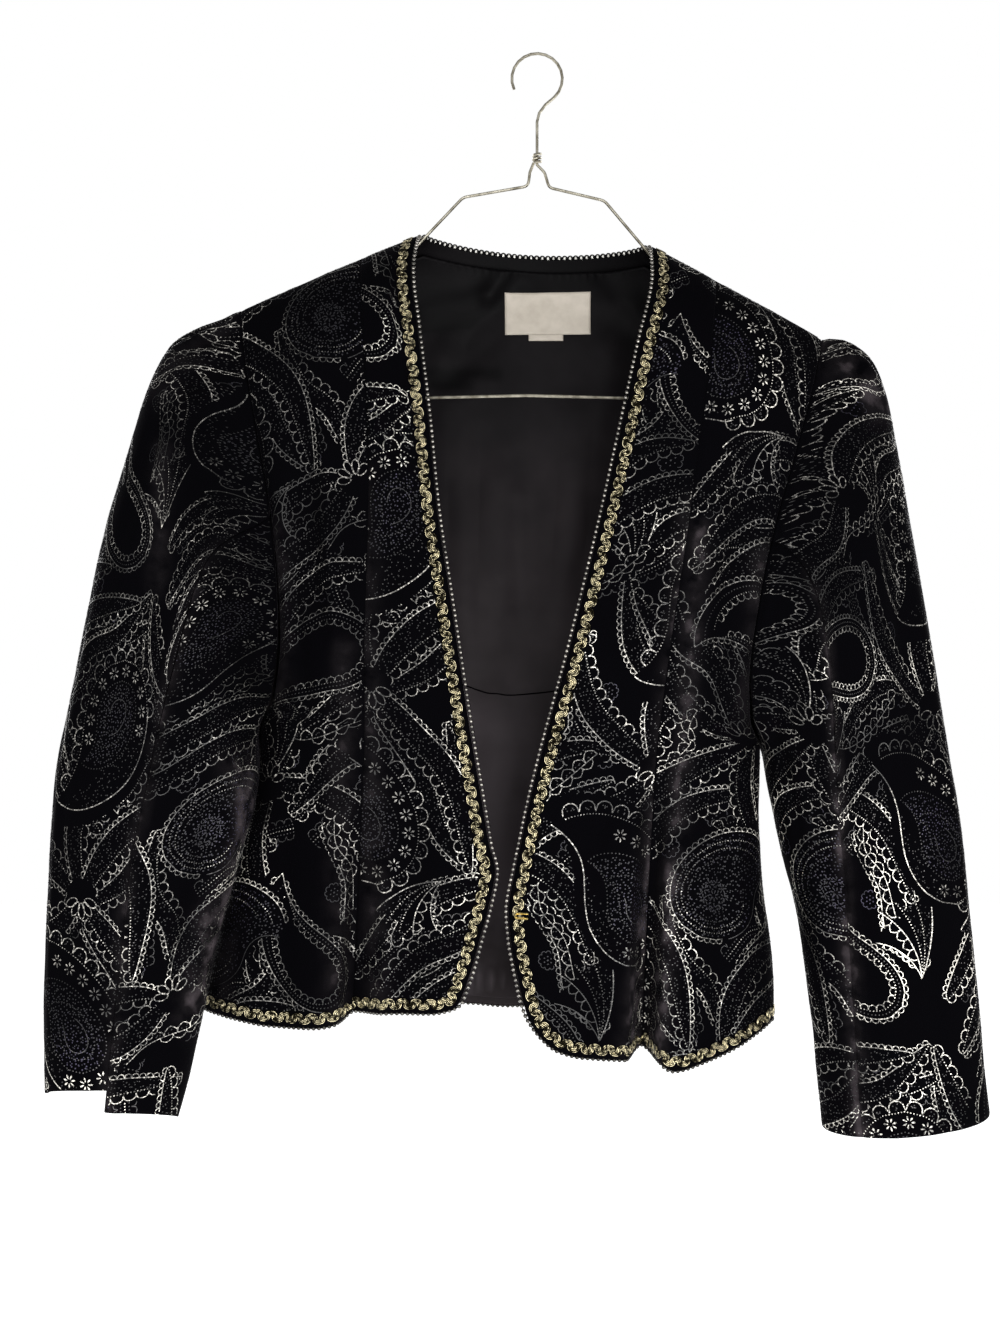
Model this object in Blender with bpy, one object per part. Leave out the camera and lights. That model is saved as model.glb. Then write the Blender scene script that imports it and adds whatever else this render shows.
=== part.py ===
"""Waist-length velvet evening jacket, open at the front, hanging on a wire hanger.

Every panel is a thin closed wall. Its outer face is read from one of two forms: the body, a stack
of level sections that rolls over the shoulders, and the sleeve, a fan of slanted ovals from the
armhole to the cuff. What lies on a panel is made from the panel's own points, moved out.

All sizes are millimetres in the jacket's own frame: x to the wearer's left, y to the back, z up,
with the origin midway between the neck points. The makers of meshes turn them into metres.
"""

import bpy
import bmesh
from collections import namedtuple
from math import acos, cos, hypot, pi, radians, sin, sqrt
from mathutils import Vector

MM = 0.001

for leftover in list(bpy.data.objects):
    bpy.data.objects.remove(leftover, do_unlink=True)

FRONT, BACK = -1, 1
LEFT, RIGHT = 1, -1
SIDE_NAME = {LEFT: "left", RIGHT: "right"}

# Driving sizes of the hang: the neck middle seen from the inside top of the hook, and the lean
NECK_PLACE = (-1.4, 0.0, -132.6)
JACKET_LEAN = radians(2.8)

# Driving sizes of the cut
NECK_HALF = 82.2
NECK_DROP = 7.0
SHOULDER_HALF = 208.0
SHOULDER_DROP = 60.0
SHOULDER_ROLL = 75.0
RIDGE_ROUND = 30.0
UNDERARM = -352.0
SECTION_POWER = 2.4

# Cloth and trim
VELVET_WALL = 2.0
LINING_WALL = 1.0
LABEL_WALL = 0.8
SEAM_GAP = 0.3
LAYER_GAP = 0.4
SLEEVE_GAP = 0.6
TRIM_INNER = 2.6
TRIM_OUTER = 10.0
BRAID_WALL = 1.2
BEAD_RADIUS = 1.5
EDGING_END_CLEAR = 1.6
NECK_EDGING_END_CLEAR = 5.5
SHARPEST_MITRE = 0.6

BodyLevel = namedtuple("BodyLevel", "height half_left half_right front_depth back_depth")
BODY_LEVELS = (
    BodyLevel(60, 228, 228, 44, 40),
    BodyLevel(-60, 224, 224, 46, 42),
    BodyLevel(-150, 214, 214, 52, 46),
    BodyLevel(-250, 195, 195, 58, 47),
    BodyLevel(-310, 182.5, 182.5, 60, 46),
    BodyLevel(UNDERARM, 178, 178, 60, 45),
    BodyLevel(-390, 179, 180, 59, 44),
    BodyLevel(-440, 183, 189, 57, 43),
    BodyLevel(-500, 193.5, 202, 56, 43),
    BodyLevel(-545, 197.5, 210, 56, 44),
    BodyLevel(-590, 199.5, 217, 57, 46),
)

ArmholeRow = namedtuple("ArmholeRow", "height reach")
ARMHOLE = (
    ArmholeRow(-60, SHOULDER_HALF),
    ArmholeRow(-105, 199.5),
    ArmholeRow(-150, 189),
    ArmholeRow(-200, 177.5),
    ArmholeRow(-250, 169.5),
    ArmholeRow(-300, 165.5),
    ArmholeRow(-335, 168.5),
    ArmholeRow(UNDERARM, 178),
)

# How far each front edge and princess seam lies from the middle of the body
SeamRow = namedtuple("SeamRow", "height left right")
FRONT_EDGE = (
    SeamRow(0, 83.5, 84.5),
    SeamRow(-25, 85, 86.5),
    SeamRow(-75, 76.5, 79),
    SeamRow(-130, 67, 69.5),
    SeamRow(-200, 55, 59),
    SeamRow(-250, 45.5, 49),
    SeamRow(-300, 35.5, 39),
    SeamRow(-352, 24, 28.5),
    SeamRow(-400, 14.5, 18),
    SeamRow(-430, 9.8, 11.5),
    SeamRow(-447, 7, 6.7),
    SeamRow(-470, 4, 9.8),
    SeamRow(-490, 6, 14.2),
    SeamRow(-520, 13, 21),
    SeamRow(-545, 20.5, 30),
    SeamRow(-558, 28.5, 40),
)
PRINCESS_SEAM = (
    SeamRow(-20, 131, 124),
    SeamRow(-130, 122, 112),
    SeamRow(-200, 116, 107),
    SeamRow(-300, 106, 105),
    SeamRow(-372, 101, 101.5),
    SeamRow(-440, 101, 101.5),
    SeamRow(-580, 103, 101.5),
)

# Lower edge of each panel, from the middle of the body outwards
HemRow = namedtuple("HemRow", "reach height")
SIDE_HEM = {LEFT: -546.0, RIGHT: -556.0}
FRONT_HEM = {
    LEFT: (HemRow(27, -557), HemRow(42, -568.5), HemRow(60, -572.5), HemRow(90, -573), HemRow(103, -567)),
    RIGHT: (HemRow(29, -543), HemRow(45, -547), HemRow(75, -548.5), HemRow(101.5, -551)),
}
SIDE_FRONT_HEM = {
    LEFT: (HemRow(103, -567), HemRow(114, -575), HemRow(123, -580), HemRow(145, -573.5),
           HemRow(169, -563), HemRow(196, SIDE_HEM[LEFT])),
    RIGHT: (HemRow(101.5, -551), HemRow(108, -557), HemRow(125, -562), HemRow(155, -563),
            HemRow(187, -560), HemRow(213, SIDE_HEM[RIGHT])),
}
BACK_HEM = (
    HemRow(-213, SIDE_HEM[RIGHT]),
    HemRow(-100, -553),
    HemRow(0, -553),
    HemRow(100, -551),
    HemRow(196, SIDE_HEM[LEFT]),
)

# The pleat that opens at each princess seam towards the hem
Pleat = namedtuple("Pleat", "depth start end front_width side_width")
PLEAT_FLOOR = 3.0
PLEAT_GROWTH = 1.4
PLEATS = {
    LEFT: Pleat(30, -330, -575, 10, 9),
    RIGHT: Pleat(17, -360, -560, 20, 7),
}

# Soft drag folds of the body: a trough from its top to its foot, each as (x, z)
Fold = namedtuple("Fold", "face top_x top_z foot_x foot_z width depth")
FOLD_RISE = 0.5
FOLD_FALL = 0.3
FOLDS = (
    Fold(FRONT, 165, -95, 140, -300, 17, 6),
    Fold(FRONT, -160, -95, -142, -310, 18, 6),
    Fold(FRONT, 66, -330, 58, -600, 15, 4),
    Fold(FRONT, -62, -300, -66, -590, 16, 4),
    Fold(FRONT, 152, -370, 158, -600, 14, 5),
    Fold(FRONT, -158, -380, -150, -600, 15, 5),
    Fold(BACK, 120, -90, 105, -330, 20, 6),
    Fold(BACK, -118, -100, -100, -350, 20, 6),
    Fold(BACK, 68, -330, 76, -600, 22, 7),
    Fold(BACK, -60, -350, -72, -600, 20, 7),
    Fold(BACK, 4, -380, 2, -600, 18, 5),
)

# Sleeve sections: outer and inner outline, half depth and middle depth, from armhole to cuff
SleeveRow = namedtuple("SleeveRow", "outer_reach outer_height inner_reach inner_height half_depth middle")
SLEEVES = {
    LEFT: (
        SleeveRow(SHOULDER_HALF, -60, 178, UNDERARM, 40, 0),
        SleeveRow(222, -61.5, 179, -355, 42, 0),
        SleeveRow(240, -71.5, 180.5, -360, 45, -1),
        SleeveRow(254.5, -96, 182, -368, 47, -2),
        SleeveRow(266, -143, 184.5, -381, 49, -4),
        SleeveRow(280.5, -208, 188.5, -398, 49, -6),
        SleeveRow(294.5, -272, 193.5, -417, 47, -8),
        SleeveRow(307, -332, 199.5, -438, 44, -10),
        SleeveRow(321.5, -403, 206.5, -462, 41, -12),
        SleeveRow(332, -473, 214.5, -500, 38, -14),
        SleeveRow(343, -551, 224, -556, 35, -16),
        SleeveRow(350.5, -603, 233, -618, 33, -18),
    ),
    RIGHT: (
        SleeveRow(SHOULDER_HALF, -60, 178, UNDERARM, 40, 0),
        SleeveRow(218, -67.5, 179.5, -356, 42, -1),
        SleeveRow(236, -76.5, 180.5, -362, 45, -5),
        SleeveRow(252, -88.5, 180.8, -370, 47, -12),
        SleeveRow(263.5, -110, 180.5, -380, 49, -19),
        SleeveRow(273, -145, 180, -393, 49, -25),
        SleeveRow(283, -188, 180.5, -409, 48, -29),
        SleeveRow(292.5, -232, 182.5, -427, 46, -32),
        SleeveRow(301.5, -291, 185.5, -447, 44, -34),
        SleeveRow(310, -350, 190, -470, 42, -35),
        SleeveRow(317, -400, 196.5, -498, 40, -35),
        SleeveRow(318, -480, 203, -538, 37, -35),
        SleeveRow(317, -555, 211, -580, 35, -35),
        SleeveRow(313.5, -619, 219.5, -616, 33, -35),
    ),
}
ARMHOLE_FADE = 0.42
UNDERARM_OWN_START = 0.3
UNDERARM_OWN_SPAN = 0.5
CUFF_DIP = {LEFT: 6.5, RIGHT: -8.5}
UNDER_SLEEVE_DROP = {LEFT: 0.0, RIGHT: 15.0}
CUFF_START = 0.8
# How far the sleeve seams turn towards the inner edge between armhole and cuff
SEAM_SWING = {LEFT: radians(35), RIGHT: 0.0}

# Soft folds of the sleeves: angle round the sleeve from its outer edge to the front, and share along it
SleeveFold = namedtuple("SleeveFold", "angle start end width depth")
SLEEVE_FOLDS = {
    LEFT: (
        SleeveFold(48, 0.22, 0.75, 17, 5),
        SleeveFold(128, 0.45, 0.95, 18, 4),
        SleeveFold(-60, 0.25, 0.8, 20, 5),
        SleeveFold(-130, 0.4, 0.9, 20, 4),
    ),
    RIGHT: (
        SleeveFold(66, 0.2, 0.7, 18, 5),
        SleeveFold(136, 0.5, 0.98, 16, 4),
        SleeveFold(-50, 0.3, 0.85, 20, 5),
        SleeveFold(-122, 0.4, 0.9, 20, 4),
    ),
}

# Gathers of the sleeve head
HEAD_GATHERS = 5
HEAD_GATHER_DEPTH = 1.6
HEAD_GATHER_ANGLE = radians(58)
HEAD_GATHER_END = 0.3

# Rows and columns of the panels
ROLL_ROWS = 5
UPPER_ROWS = 9
LOWER_ROWS = 6
UNDERARM_ROW = ROLL_ROWS + UPPER_ROWS
EDGE_COLUMNS = (0.0, TRIM_INNER, TRIM_OUTER)
PLEAT_COLUMNS = (0.0, 4.0, 7.0, 10.0, 13.0, 20.0)
FRONT_SPARE_COLUMNS = 3
SIDE_SPARE_COLUMNS = 5
BACK_SHOULDER_COLUMNS = 5
BACK_NECK_COLUMNS = 12
SLEEVE_ROWS = 18
SLEEVE_SEAM_ROW = ROLL_ROWS + 2

# Wire hanger, in the frame of its hook
WIRE_RADIUS = 1.1
HOOK_INNER = 17.0
WRAP_TURNS = 2.5
WRAP_RADIUS = 2.6
WRAP_RISE = 2.7
WRAP_FOOT = -77.5
WRAP_STEPS = 20
SHANK_FOOT = -78.5
HOOK_FROM = radians(-48)
HOOK_TO = radians(205)
HOOK_STEPS = 15
BEND_STEPS = 4
HookBend = namedtuple("HookBend", "x z radius")
ARM_ON_RIGHT = (HookBend(-5.2, -84, 6), HookBend(-6.4, -93.8, 5), HookBend(-52.9, -101.8, 9))
ARM_ON_LEFT = (HookBend(48.2, -104.2, 9), HookBend(8.6, -94.8, 5), HookBend(5.4, -84, 6))
HANGER_BAR = (HookBend(-191, -247.5, 9), HookBend(-8, -243.5, 60), HookBend(169.3, -248, 9))
SHANK = (HookBend(0, SHANK_FOOT, 0), HookBend(0, -66, 0), HookBend(0, -56, 0), HookBend(0, -48, 0),
         HookBend(1.6, -41.5, 0), HookBend(6, -35.6, 0))

# Label, tab and front hook, on the body
LABEL_BOX = (-20.5, 42.5, -62.0, -29.5)
TAB_BOX = (-2.0, 23.0, -68.5, -62.6)
FRONT_HOOK_PLACE = (13.0, -476.4)
FRONT_HOOK_WIRE = 0.55
FRONT_HOOK_LENGTH = 9.0
FRONT_HOOK_WIDTH = 3.4
FRONT_HOOK_STEPS = 6
LABEL_COLUMNS = 5
LABEL_ROWS = 3

Finish = namedtuple("Finish", "colour roughness metallic")
FINISHES = {
    "velvet": Finish((0.012, 0.011, 0.017), 0.85, 0.0),
    "satin": Finish((0.030, 0.029, 0.034), 0.45, 0.0),
    "gimp": Finish((0.48, 0.37, 0.16), 0.4, 0.8),
    "bead": Finish((0.55, 0.52, 0.46), 0.3, 0.9),
    "label": Finish((0.78, 0.74, 0.62), 0.7, 0.0),
    "brass_wire": Finish((0.62, 0.50, 0.26), 0.35, 1.0),
}


def mix(start, end, share):
    return start + (end - start) * share


def ease(share):
    """Smooth step from 0 to 1."""
    held = min(max(share, 0.0), 1.0)
    return held * held * (3 - 2 * held)


def smooth_column(rows, key_name, value_name):
    """A smooth line through one column of a table, which never overshoots the rows."""
    pairs = sorted((getattr(row, key_name), getattr(row, value_name)) for row in rows)
    keys = [pair[0] for pair in pairs]
    values = [pair[1] for pair in pairs]
    count = len(keys) - 1
    steps = [(values[i + 1] - values[i]) / (keys[i + 1] - keys[i]) for i in range(count)]
    slopes = [steps[0]]
    for before, after in zip(steps, steps[1:]):
        turns = before * after <= 0
        slopes.append(0.0 if turns else 2 * before * after / (before + after))
    slopes.append(steps[-1])

    def value_at(key):
        i = 0
        while i < count - 1 and key > keys[i + 1]:
            i += 1
        span = keys[i + 1] - keys[i]
        t = min(max((key - keys[i]) / span, 0.0), 1.0)
        rise = ease(t)
        bend = t * (1 - t) * span * ((1 - t) * slopes[i] - t * slopes[i + 1])
        return mix(values[i], values[i + 1], rise) + bend

    return value_at


half_width = {
    LEFT: smooth_column(BODY_LEVELS, "height", "half_left"),
    RIGHT: smooth_column(BODY_LEVELS, "height", "half_right"),
}
body_depth = {
    FRONT: smooth_column(BODY_LEVELS, "height", "front_depth"),
    BACK: smooth_column(BODY_LEVELS, "height", "back_depth"),
}
armhole_reach = smooth_column(ARMHOLE, "height", "reach")
front_edge = {side: smooth_column(FRONT_EDGE, "height", SIDE_NAME[side]) for side in (LEFT, RIGHT)}
princess = {side: smooth_column(PRINCESS_SEAM, "height", SIDE_NAME[side]) for side in (LEFT, RIGHT)}
front_hem = {side: smooth_column(FRONT_HEM[side], "reach", "height") for side in (LEFT, RIGHT)}
side_front_hem = {side: smooth_column(SIDE_FRONT_HEM[side], "reach", "height") for side in (LEFT, RIGHT)}
back_hem = smooth_column(BACK_HEM, "reach", "height")


# The body's form

def shoulder_height(x):
    """Height of the shoulder line, carried on across the neck as a rounded ridge."""
    neck_reach = hypot(NECK_HALF, RIDGE_ROUND)
    tip_reach = hypot(SHOULDER_HALF, RIDGE_ROUND)
    return -SHOULDER_DROP * (hypot(x, RIDGE_ROUND) - neck_reach) / (tip_reach - neck_reach)


def neck_height(x):
    """Height of the back neckline, which dips a little between the neck points."""
    return -NECK_DROP * (1 - (x / NECK_HALF) ** 2)


def pleat_depth(x, height):
    """How far the princess pleat pulls the front inwards."""
    side = LEFT if x >= 0 else RIGHT
    pleat = PLEATS[side]
    grown = max((pleat.start - height) / (pleat.start - pleat.end), 0.0) ** PLEAT_GROWTH
    off_seam = abs(x) - princess[side](height)
    width = pleat.front_width if off_seam < 0 else pleat.side_width
    return pleat.depth * grown * (1 - ease((abs(off_seam) - PLEAT_FLOOR) / width))


def fold_depth(x, height, face):
    """How far the soft folds of this face pull the cloth inwards."""
    total = 0.0
    for fold in FOLDS:
        if fold.face != face:
            continue
        along = (height - fold.top_z) / (fold.foot_z - fold.top_z)
        if not 0 < along < 1:
            continue
        off = (x - mix(fold.top_x, fold.foot_x, along)) / fold.width
        swell = ease(along / FOLD_RISE) * ease((1 - along) / FOLD_FALL)
        total += fold.depth * swell * max(1 - off * off, 0.0) ** 2
    return total


def body_angle(x, height):
    """Angle round the section: 0 at the wearer's left side, pi at the right."""
    side = LEFT if x >= 0 else RIGHT
    share = min(abs(x) / half_width[side](height), 1.0)
    return acos(side * share ** (SECTION_POWER / 2))


def body_x(angle, height):
    across = cos(angle)
    side = LEFT if across >= 0 else RIGHT
    return side * half_width[side](height) * abs(across) ** (2 / SECTION_POWER)


def body_point(angle, height, face):
    """A point of the body's outer face."""
    x = body_x(angle, height)
    drop = min(max(shoulder_height(x) - height, 0.0) / SHOULDER_ROLL, 1.0)
    rolled = sqrt(1 - (1 - drop) ** 2)
    out = sin(angle)
    bulge = abs(out) ** (2 / SECTION_POWER) * (1 if out >= 0 else -1)
    depth = body_depth[face](height) * bulge * rolled
    depth -= fold_depth(x, height, face) * rolled * abs(out)
    if face == FRONT:
        depth -= pleat_depth(x, height)
    return Vector((x, face * depth, height))


def body_normal(angle, height, face):
    """The outward direction of the body's face."""
    turn = 0.004
    rise = 0.6
    along = body_point(angle + turn, height, face) - body_point(angle - turn, height, face)
    up = body_point(angle, height + rise, face) - body_point(angle, height - rise, face)
    return face * along.cross(up).normalized()


# Panels of the body: grids of outer points and outward directions, rows from the shoulder down

Panel = namedtuple("Panel", "points normals")


def row_heights(top, bottom):
    """Heights down one column: over the shoulder roll, past the armhole, down to the trimmed hem."""
    rolled = [top - SHOULDER_ROLL * (1 - cos(pi / 2 * k / ROLL_ROWS)) for k in range(ROLL_ROWS)]
    upper = [mix(top - SHOULDER_ROLL, UNDERARM, sin(pi / 2 * k / UPPER_ROWS)) for k in range(UPPER_ROWS)]
    lower = [mix(UNDERARM, bottom + TRIM_OUTER, k / LOWER_ROWS) for k in range(LOWER_ROWS)]
    return rolled + upper + lower + [bottom + TRIM_OUTER, bottom + TRIM_INNER, bottom]


def outer_seam_reach(side, height):
    """Reach of the side seam below the underarm and of the armhole above it."""
    return armhole_reach(height) if height > UNDERARM else half_width[side](height)


def flatten_normal(normal):
    """The outward direction where front and back meet."""
    return Vector((normal.x, 0.0, normal.z)).normalized()


def body_panel(face, angles, tops, bottoms, shoulder_columns, seam_columns):
    """The grid of a body panel from the angle of each point and the ends of each column."""
    heights = [row_heights(top, bottom) for top, bottom in zip(tops, bottoms)]
    points = []
    normals = []
    for row, row_angles in enumerate(angles):
        row_points = []
        row_normals = []
        for column, angle in enumerate(row_angles):
            height = heights[column][row]
            point = body_point(angle, height, face)
            normal = body_normal(angle, height, face)
            on_shoulder = row == 0 and column in shoulder_columns
            on_side_seam = row >= UNDERARM_ROW and column in seam_columns
            if on_shoulder or on_side_seam:
                point.y = face * SEAM_GAP / 2
                normal = flatten_normal(normal)
            row_points.append(point)
            row_normals.append(normal)
        points.append(row_points)
        normals.append(row_normals)
    return Panel(points, normals)


def spread(first, last, count):
    """Angles evenly between two groups of columns, with both groups kept."""
    between = [mix(first[-1], last[0], (k + 1) / (count + 1)) for k in range(count)]
    return first + between + last


def front_panel(side):
    """Centre front, from the front edge to the princess seam."""
    edge_top, seam_top = front_edge[side](0), princess[side](0)
    edge_foot, seam_foot = FRONT_HEM[side][0].height, FRONT_HEM[side][-1].height
    edge_heights = row_heights(shoulder_height(edge_top), edge_foot)
    seam_heights = row_heights(shoulder_height(seam_top), seam_foot)
    angles = []
    for edge_z, seam_z in zip(edge_heights, seam_heights):
        edge = front_edge[side](edge_z)
        seam = princess[side](seam_z) - SEAM_GAP / 2
        first = [body_angle(side * (edge + step), edge_z) for step in EDGE_COLUMNS]
        last = [body_angle(side * (seam - step), seam_z) for step in reversed(PLEAT_COLUMNS)]
        angles.append(spread(first, last, FRONT_SPARE_COLUMNS))
    tops = [shoulder_height(body_x(angle, edge_heights[0])) for angle in angles[0]]
    bottoms = [front_hem[side](abs(body_x(angle, seam_foot))) for angle in angles[-1]]
    every_column = range(len(tops))
    return body_panel(FRONT, angles, tops, bottoms, every_column, ())


def side_front_panel(side):
    """Side front, from the princess seam to the armhole and side seam."""
    seam_foot = SIDE_FRONT_HEM[side][0].height
    seam_heights = row_heights(shoulder_height(princess[side](0)), seam_foot)
    outer_heights = row_heights(-SHOULDER_DROP, SIDE_HEM[side])
    angles = []
    for seam_z, outer_z in zip(seam_heights, outer_heights):
        seam = princess[side](seam_z) + SEAM_GAP / 2
        first = [body_angle(side * (seam + step), seam_z) for step in PLEAT_COLUMNS]
        last = [body_angle(side * outer_seam_reach(side, outer_z), outer_z)]
        angles.append(spread(first, last, SIDE_SPARE_COLUMNS))
    tops = [shoulder_height(body_x(angle, -SHOULDER_DROP / 2)) for angle in angles[0][:-1]]
    tops.append(-SHOULDER_DROP)
    bottoms = [side_front_hem[side](abs(body_x(angle, seam_foot))) for angle in angles[-1][:-1]]
    bottoms.append(SIDE_HEM[side])
    every_column = range(len(tops))
    return body_panel(FRONT, angles, tops, bottoms, every_column, (len(tops) - 1,))


def back_panel():
    """The whole back, from the wearer's right armhole and side seam to the left ones."""
    ends = {side: row_heights(-SHOULDER_DROP, SIDE_HEM[side]) for side in (LEFT, RIGHT)}
    right_tip = body_angle(-SHOULDER_HALF, -SHOULDER_DROP)
    left_tip = body_angle(SHOULDER_HALF, -SHOULDER_DROP)
    neck_share = (body_angle(-NECK_HALF, 0) - right_tip) / (left_tip - right_tip)
    shares = [neck_share * k / BACK_SHOULDER_COLUMNS for k in range(BACK_SHOULDER_COLUMNS)]
    shares += [mix(neck_share, 1 - neck_share, k / BACK_NECK_COLUMNS) for k in range(BACK_NECK_COLUMNS)]
    shares += [mix(1 - neck_share, 1, k / BACK_SHOULDER_COLUMNS) for k in range(BACK_SHOULDER_COLUMNS + 1)]
    angles = []
    for right_z, left_z in zip(ends[RIGHT], ends[LEFT]):
        start = body_angle(-outer_seam_reach(RIGHT, right_z), right_z)
        end = body_angle(outer_seam_reach(LEFT, left_z), left_z)
        angles.append([mix(start, end, share) for share in shares])
    neck_first = BACK_SHOULDER_COLUMNS
    neck_last = BACK_SHOULDER_COLUMNS + BACK_NECK_COLUMNS
    tops = []
    for column, angle in enumerate(angles[0]):
        x = body_x(angle, -SHOULDER_DROP / 2)
        on_neck = neck_first < column < neck_last
        tops.append(neck_height(x) if on_neck else shoulder_height(x))
    tops[0] = tops[-1] = -SHOULDER_DROP
    tops[neck_first] = tops[neck_last] = 0.0
    bottoms = [back_hem(body_x(angle, SIDE_HEM[LEFT])) for angle in angles[-1]]
    bottoms[0], bottoms[-1] = SIDE_HEM[RIGHT], SIDE_HEM[LEFT]
    last = len(tops) - 1
    shoulder_columns = [c for c in range(last + 1) if c <= neck_first or c >= neck_last]
    return body_panel(BACK, angles, tops, bottoms, shoulder_columns, (0, last))


# The sleeve's form

SharePlace = namedtuple("SharePlace", "share value")


def smooth_sleeve_column(rows, name):
    """A smooth line down the sleeve through one column of its table."""
    last = len(rows) - 1
    places = [SharePlace(k / last, getattr(row, name)) for k, row in enumerate(rows)]
    return smooth_column(places, "share", "value")


sleeve_column = {
    side: {name: smooth_sleeve_column(rows, name) for name in SleeveRow._fields}
    for side, rows in SLEEVES.items()
}


def oval_point(side, angle, share):
    """A point of the plain slanted oval: angle 0 is its outer edge, pi/2 its front."""
    read = sleeve_column[side]
    round_out = cos(angle)
    reach = mix(read["inner_reach"](share), read["outer_reach"](share), (1 + round_out) / 2)
    height = mix(read["inner_height"](share), read["outer_height"](share), (1 + round_out) / 2)
    y = read["middle"](share) - read["half_depth"](share) * sin(angle)
    return Vector((side * reach, y, height))


def armhole_point(side, angle):
    """The point of the armhole where the sleeve at this angle is sewn on."""
    height = mix(UNDERARM, -SHOULDER_DROP, (1 + cos(angle)) / 2)
    x = side * armhole_reach(height)
    face = FRONT if sin(angle) >= 0 else BACK
    return body_point(body_angle(x, height), height, face)


def armhole_normal(side, angle):
    height = mix(UNDERARM, -SHOULDER_DROP, (1 + cos(angle)) / 2)
    x = side * armhole_reach(height)
    face = FRONT if sin(angle) >= 0 else BACK
    normal = body_normal(body_angle(x, height), height, face)
    return flatten_normal(normal) if abs(sin(angle)) < 0.001 else normal


def sleeve_relief(side, angle, share):
    """How far folds and head gathers push the sleeve's face in or out."""
    relief = 0.0
    for fold in SLEEVE_FOLDS[side]:
        along = (share - fold.start) / (fold.end - fold.start)
        if 0 < along < 1:
            off = (angle - radians(fold.angle)) / radians(fold.width)
            relief -= fold.depth * sin(pi * along) * max(1 - off * off, 0.0) ** 2
    if abs(angle) < HEAD_GATHER_ANGLE and 0 < share < HEAD_GATHER_END:
        wave = cos(2 * pi * HEAD_GATHERS * angle / (2 * HEAD_GATHER_ANGLE))
        relief += HEAD_GATHER_DEPTH * wave * sin(pi * share / HEAD_GATHER_END)
    return relief


def plain_sleeve_point(side, angle, share):
    """The sleeve's face before folds: ovals that start from the armhole."""
    point = oval_point(side, angle, share)
    fade = 1 - ease(share / ARMHOLE_FADE)
    if fade > 0:
        point += fade * (armhole_point(side, angle) - oval_point(side, angle, 0.0))
    cuff = ease((share - CUFF_START) / (1 - CUFF_START))
    point.z -= CUFF_DIP[side] * max(sin(angle), 0.0) * cuff
    return point


def sleeve_normal(side, angle, share):
    """The outward direction of the sleeve; at the armhole it is the body's, but for the underarm."""
    turn = 0.01
    step = 0.004
    low = max(share - step, 0.0)
    high = min(share + step, 1.0)
    around = plain_sleeve_point(side, angle + turn, share) - plain_sleeve_point(side, angle - turn, share)
    along = plain_sleeve_point(side, angle, high) - plain_sleeve_point(side, angle, low)
    normal = side * around.cross(along).normalized()
    if share == 0.0:
        own = ease((-cos(angle) - UNDERARM_OWN_START) / UNDERARM_OWN_SPAN)
        normal = (normal * own + armhole_normal(side, angle) * (1 - own)).normalized()
    return normal


def sleeve_angles():
    """Angles of the sleeve's columns, which meet the armhole's rows one by one."""
    heights = row_heights(-SHOULDER_DROP, SIDE_HEM[LEFT])[:UNDERARM_ROW + 1]
    middle = (UNDERARM - SHOULDER_DROP) / 2
    half = (-SHOULDER_DROP - UNDERARM) / 2
    return [acos(min(max((height - middle) / half, -1.0), 1.0)) for height in heights]


def swung(side, angle, share):
    """Angle of a sleeve column, which follows the sleeve seam as it turns towards the cuff."""
    seam = sleeve_angles()[SLEEVE_SEAM_ROW]
    swing = SEAM_SWING[side] * ease(share)
    size = abs(angle)
    if size <= seam:
        moved = size * (seam + swing) / seam
    else:
        moved = pi - (pi - size) * (pi - seam - swing) / (pi - seam)
    return moved if angle >= 0 else -moved


def sleeve_panel(side, angles, drop):
    """The grid of one half of a sleeve, rows from the armhole to the cuff."""
    points = []
    normals = []
    for row in range(SLEEVE_ROWS + 1):
        share = row / SLEEVE_ROWS
        cuff = ease((share - CUFF_START) / (1 - CUFF_START))
        row_points = []
        row_normals = []
        for armhole_angle in angles:
            angle = swung(side, armhole_angle, share)
            normal = sleeve_normal(side, angle, share)
            point = plain_sleeve_point(side, angle, share) + normal * sleeve_relief(side, angle, share)
            point.x += side * SLEEVE_GAP * (1 - ease(share / ARMHOLE_FADE))
            point.z -= drop * cuff
            row_points.append(point)
            row_normals.append(normal)
        points.append(row_points)
        normals.append(row_normals)
    return Panel(points, normals)


def sleeve_halves(side):
    """Upper and under sleeve, parted by the seam gap along both sleeve seams."""
    angles = sleeve_angles()
    seam = angles[SLEEVE_SEAM_ROW]
    half_gap = SEAM_GAP / 2 / SLEEVES[side][-1].half_depth
    front_upper = angles[:SLEEVE_SEAM_ROW] + [seam - half_gap]
    upper = [-angle for angle in reversed(front_upper[1:])] + front_upper
    front_under = [seam + half_gap] + angles[SLEEVE_SEAM_ROW + 1:]
    under = front_under + [2 * pi - angle for angle in reversed(front_under[:-1])]
    under = [angle if angle <= pi else angle - 2 * pi for angle in under]
    return sleeve_panel(side, upper, 0.0), sleeve_panel(side, under, UNDER_SLEEVE_DROP[side])


# Makers of objects

jacket_frame = bpy.data.objects.new("jacket_frame", None)
bpy.context.collection.objects.link(jacket_frame)
jacket_frame.location = Vector(NECK_PLACE) * MM
jacket_frame.rotation_euler = (0.0, JACKET_LEAN, 0.0)


def finish_material(name, finish_name):
    finish = FINISHES[finish_name]
    material = bpy.data.materials.new(name)
    material.use_nodes = True
    shader = material.node_tree.nodes["Principled BSDF"]
    shader.inputs["Base Color"].default_value = (*finish.colour, 1.0)
    shader.inputs["Roughness"].default_value = finish.roughness
    shader.inputs["Metallic"].default_value = finish.metallic
    return material


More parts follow.
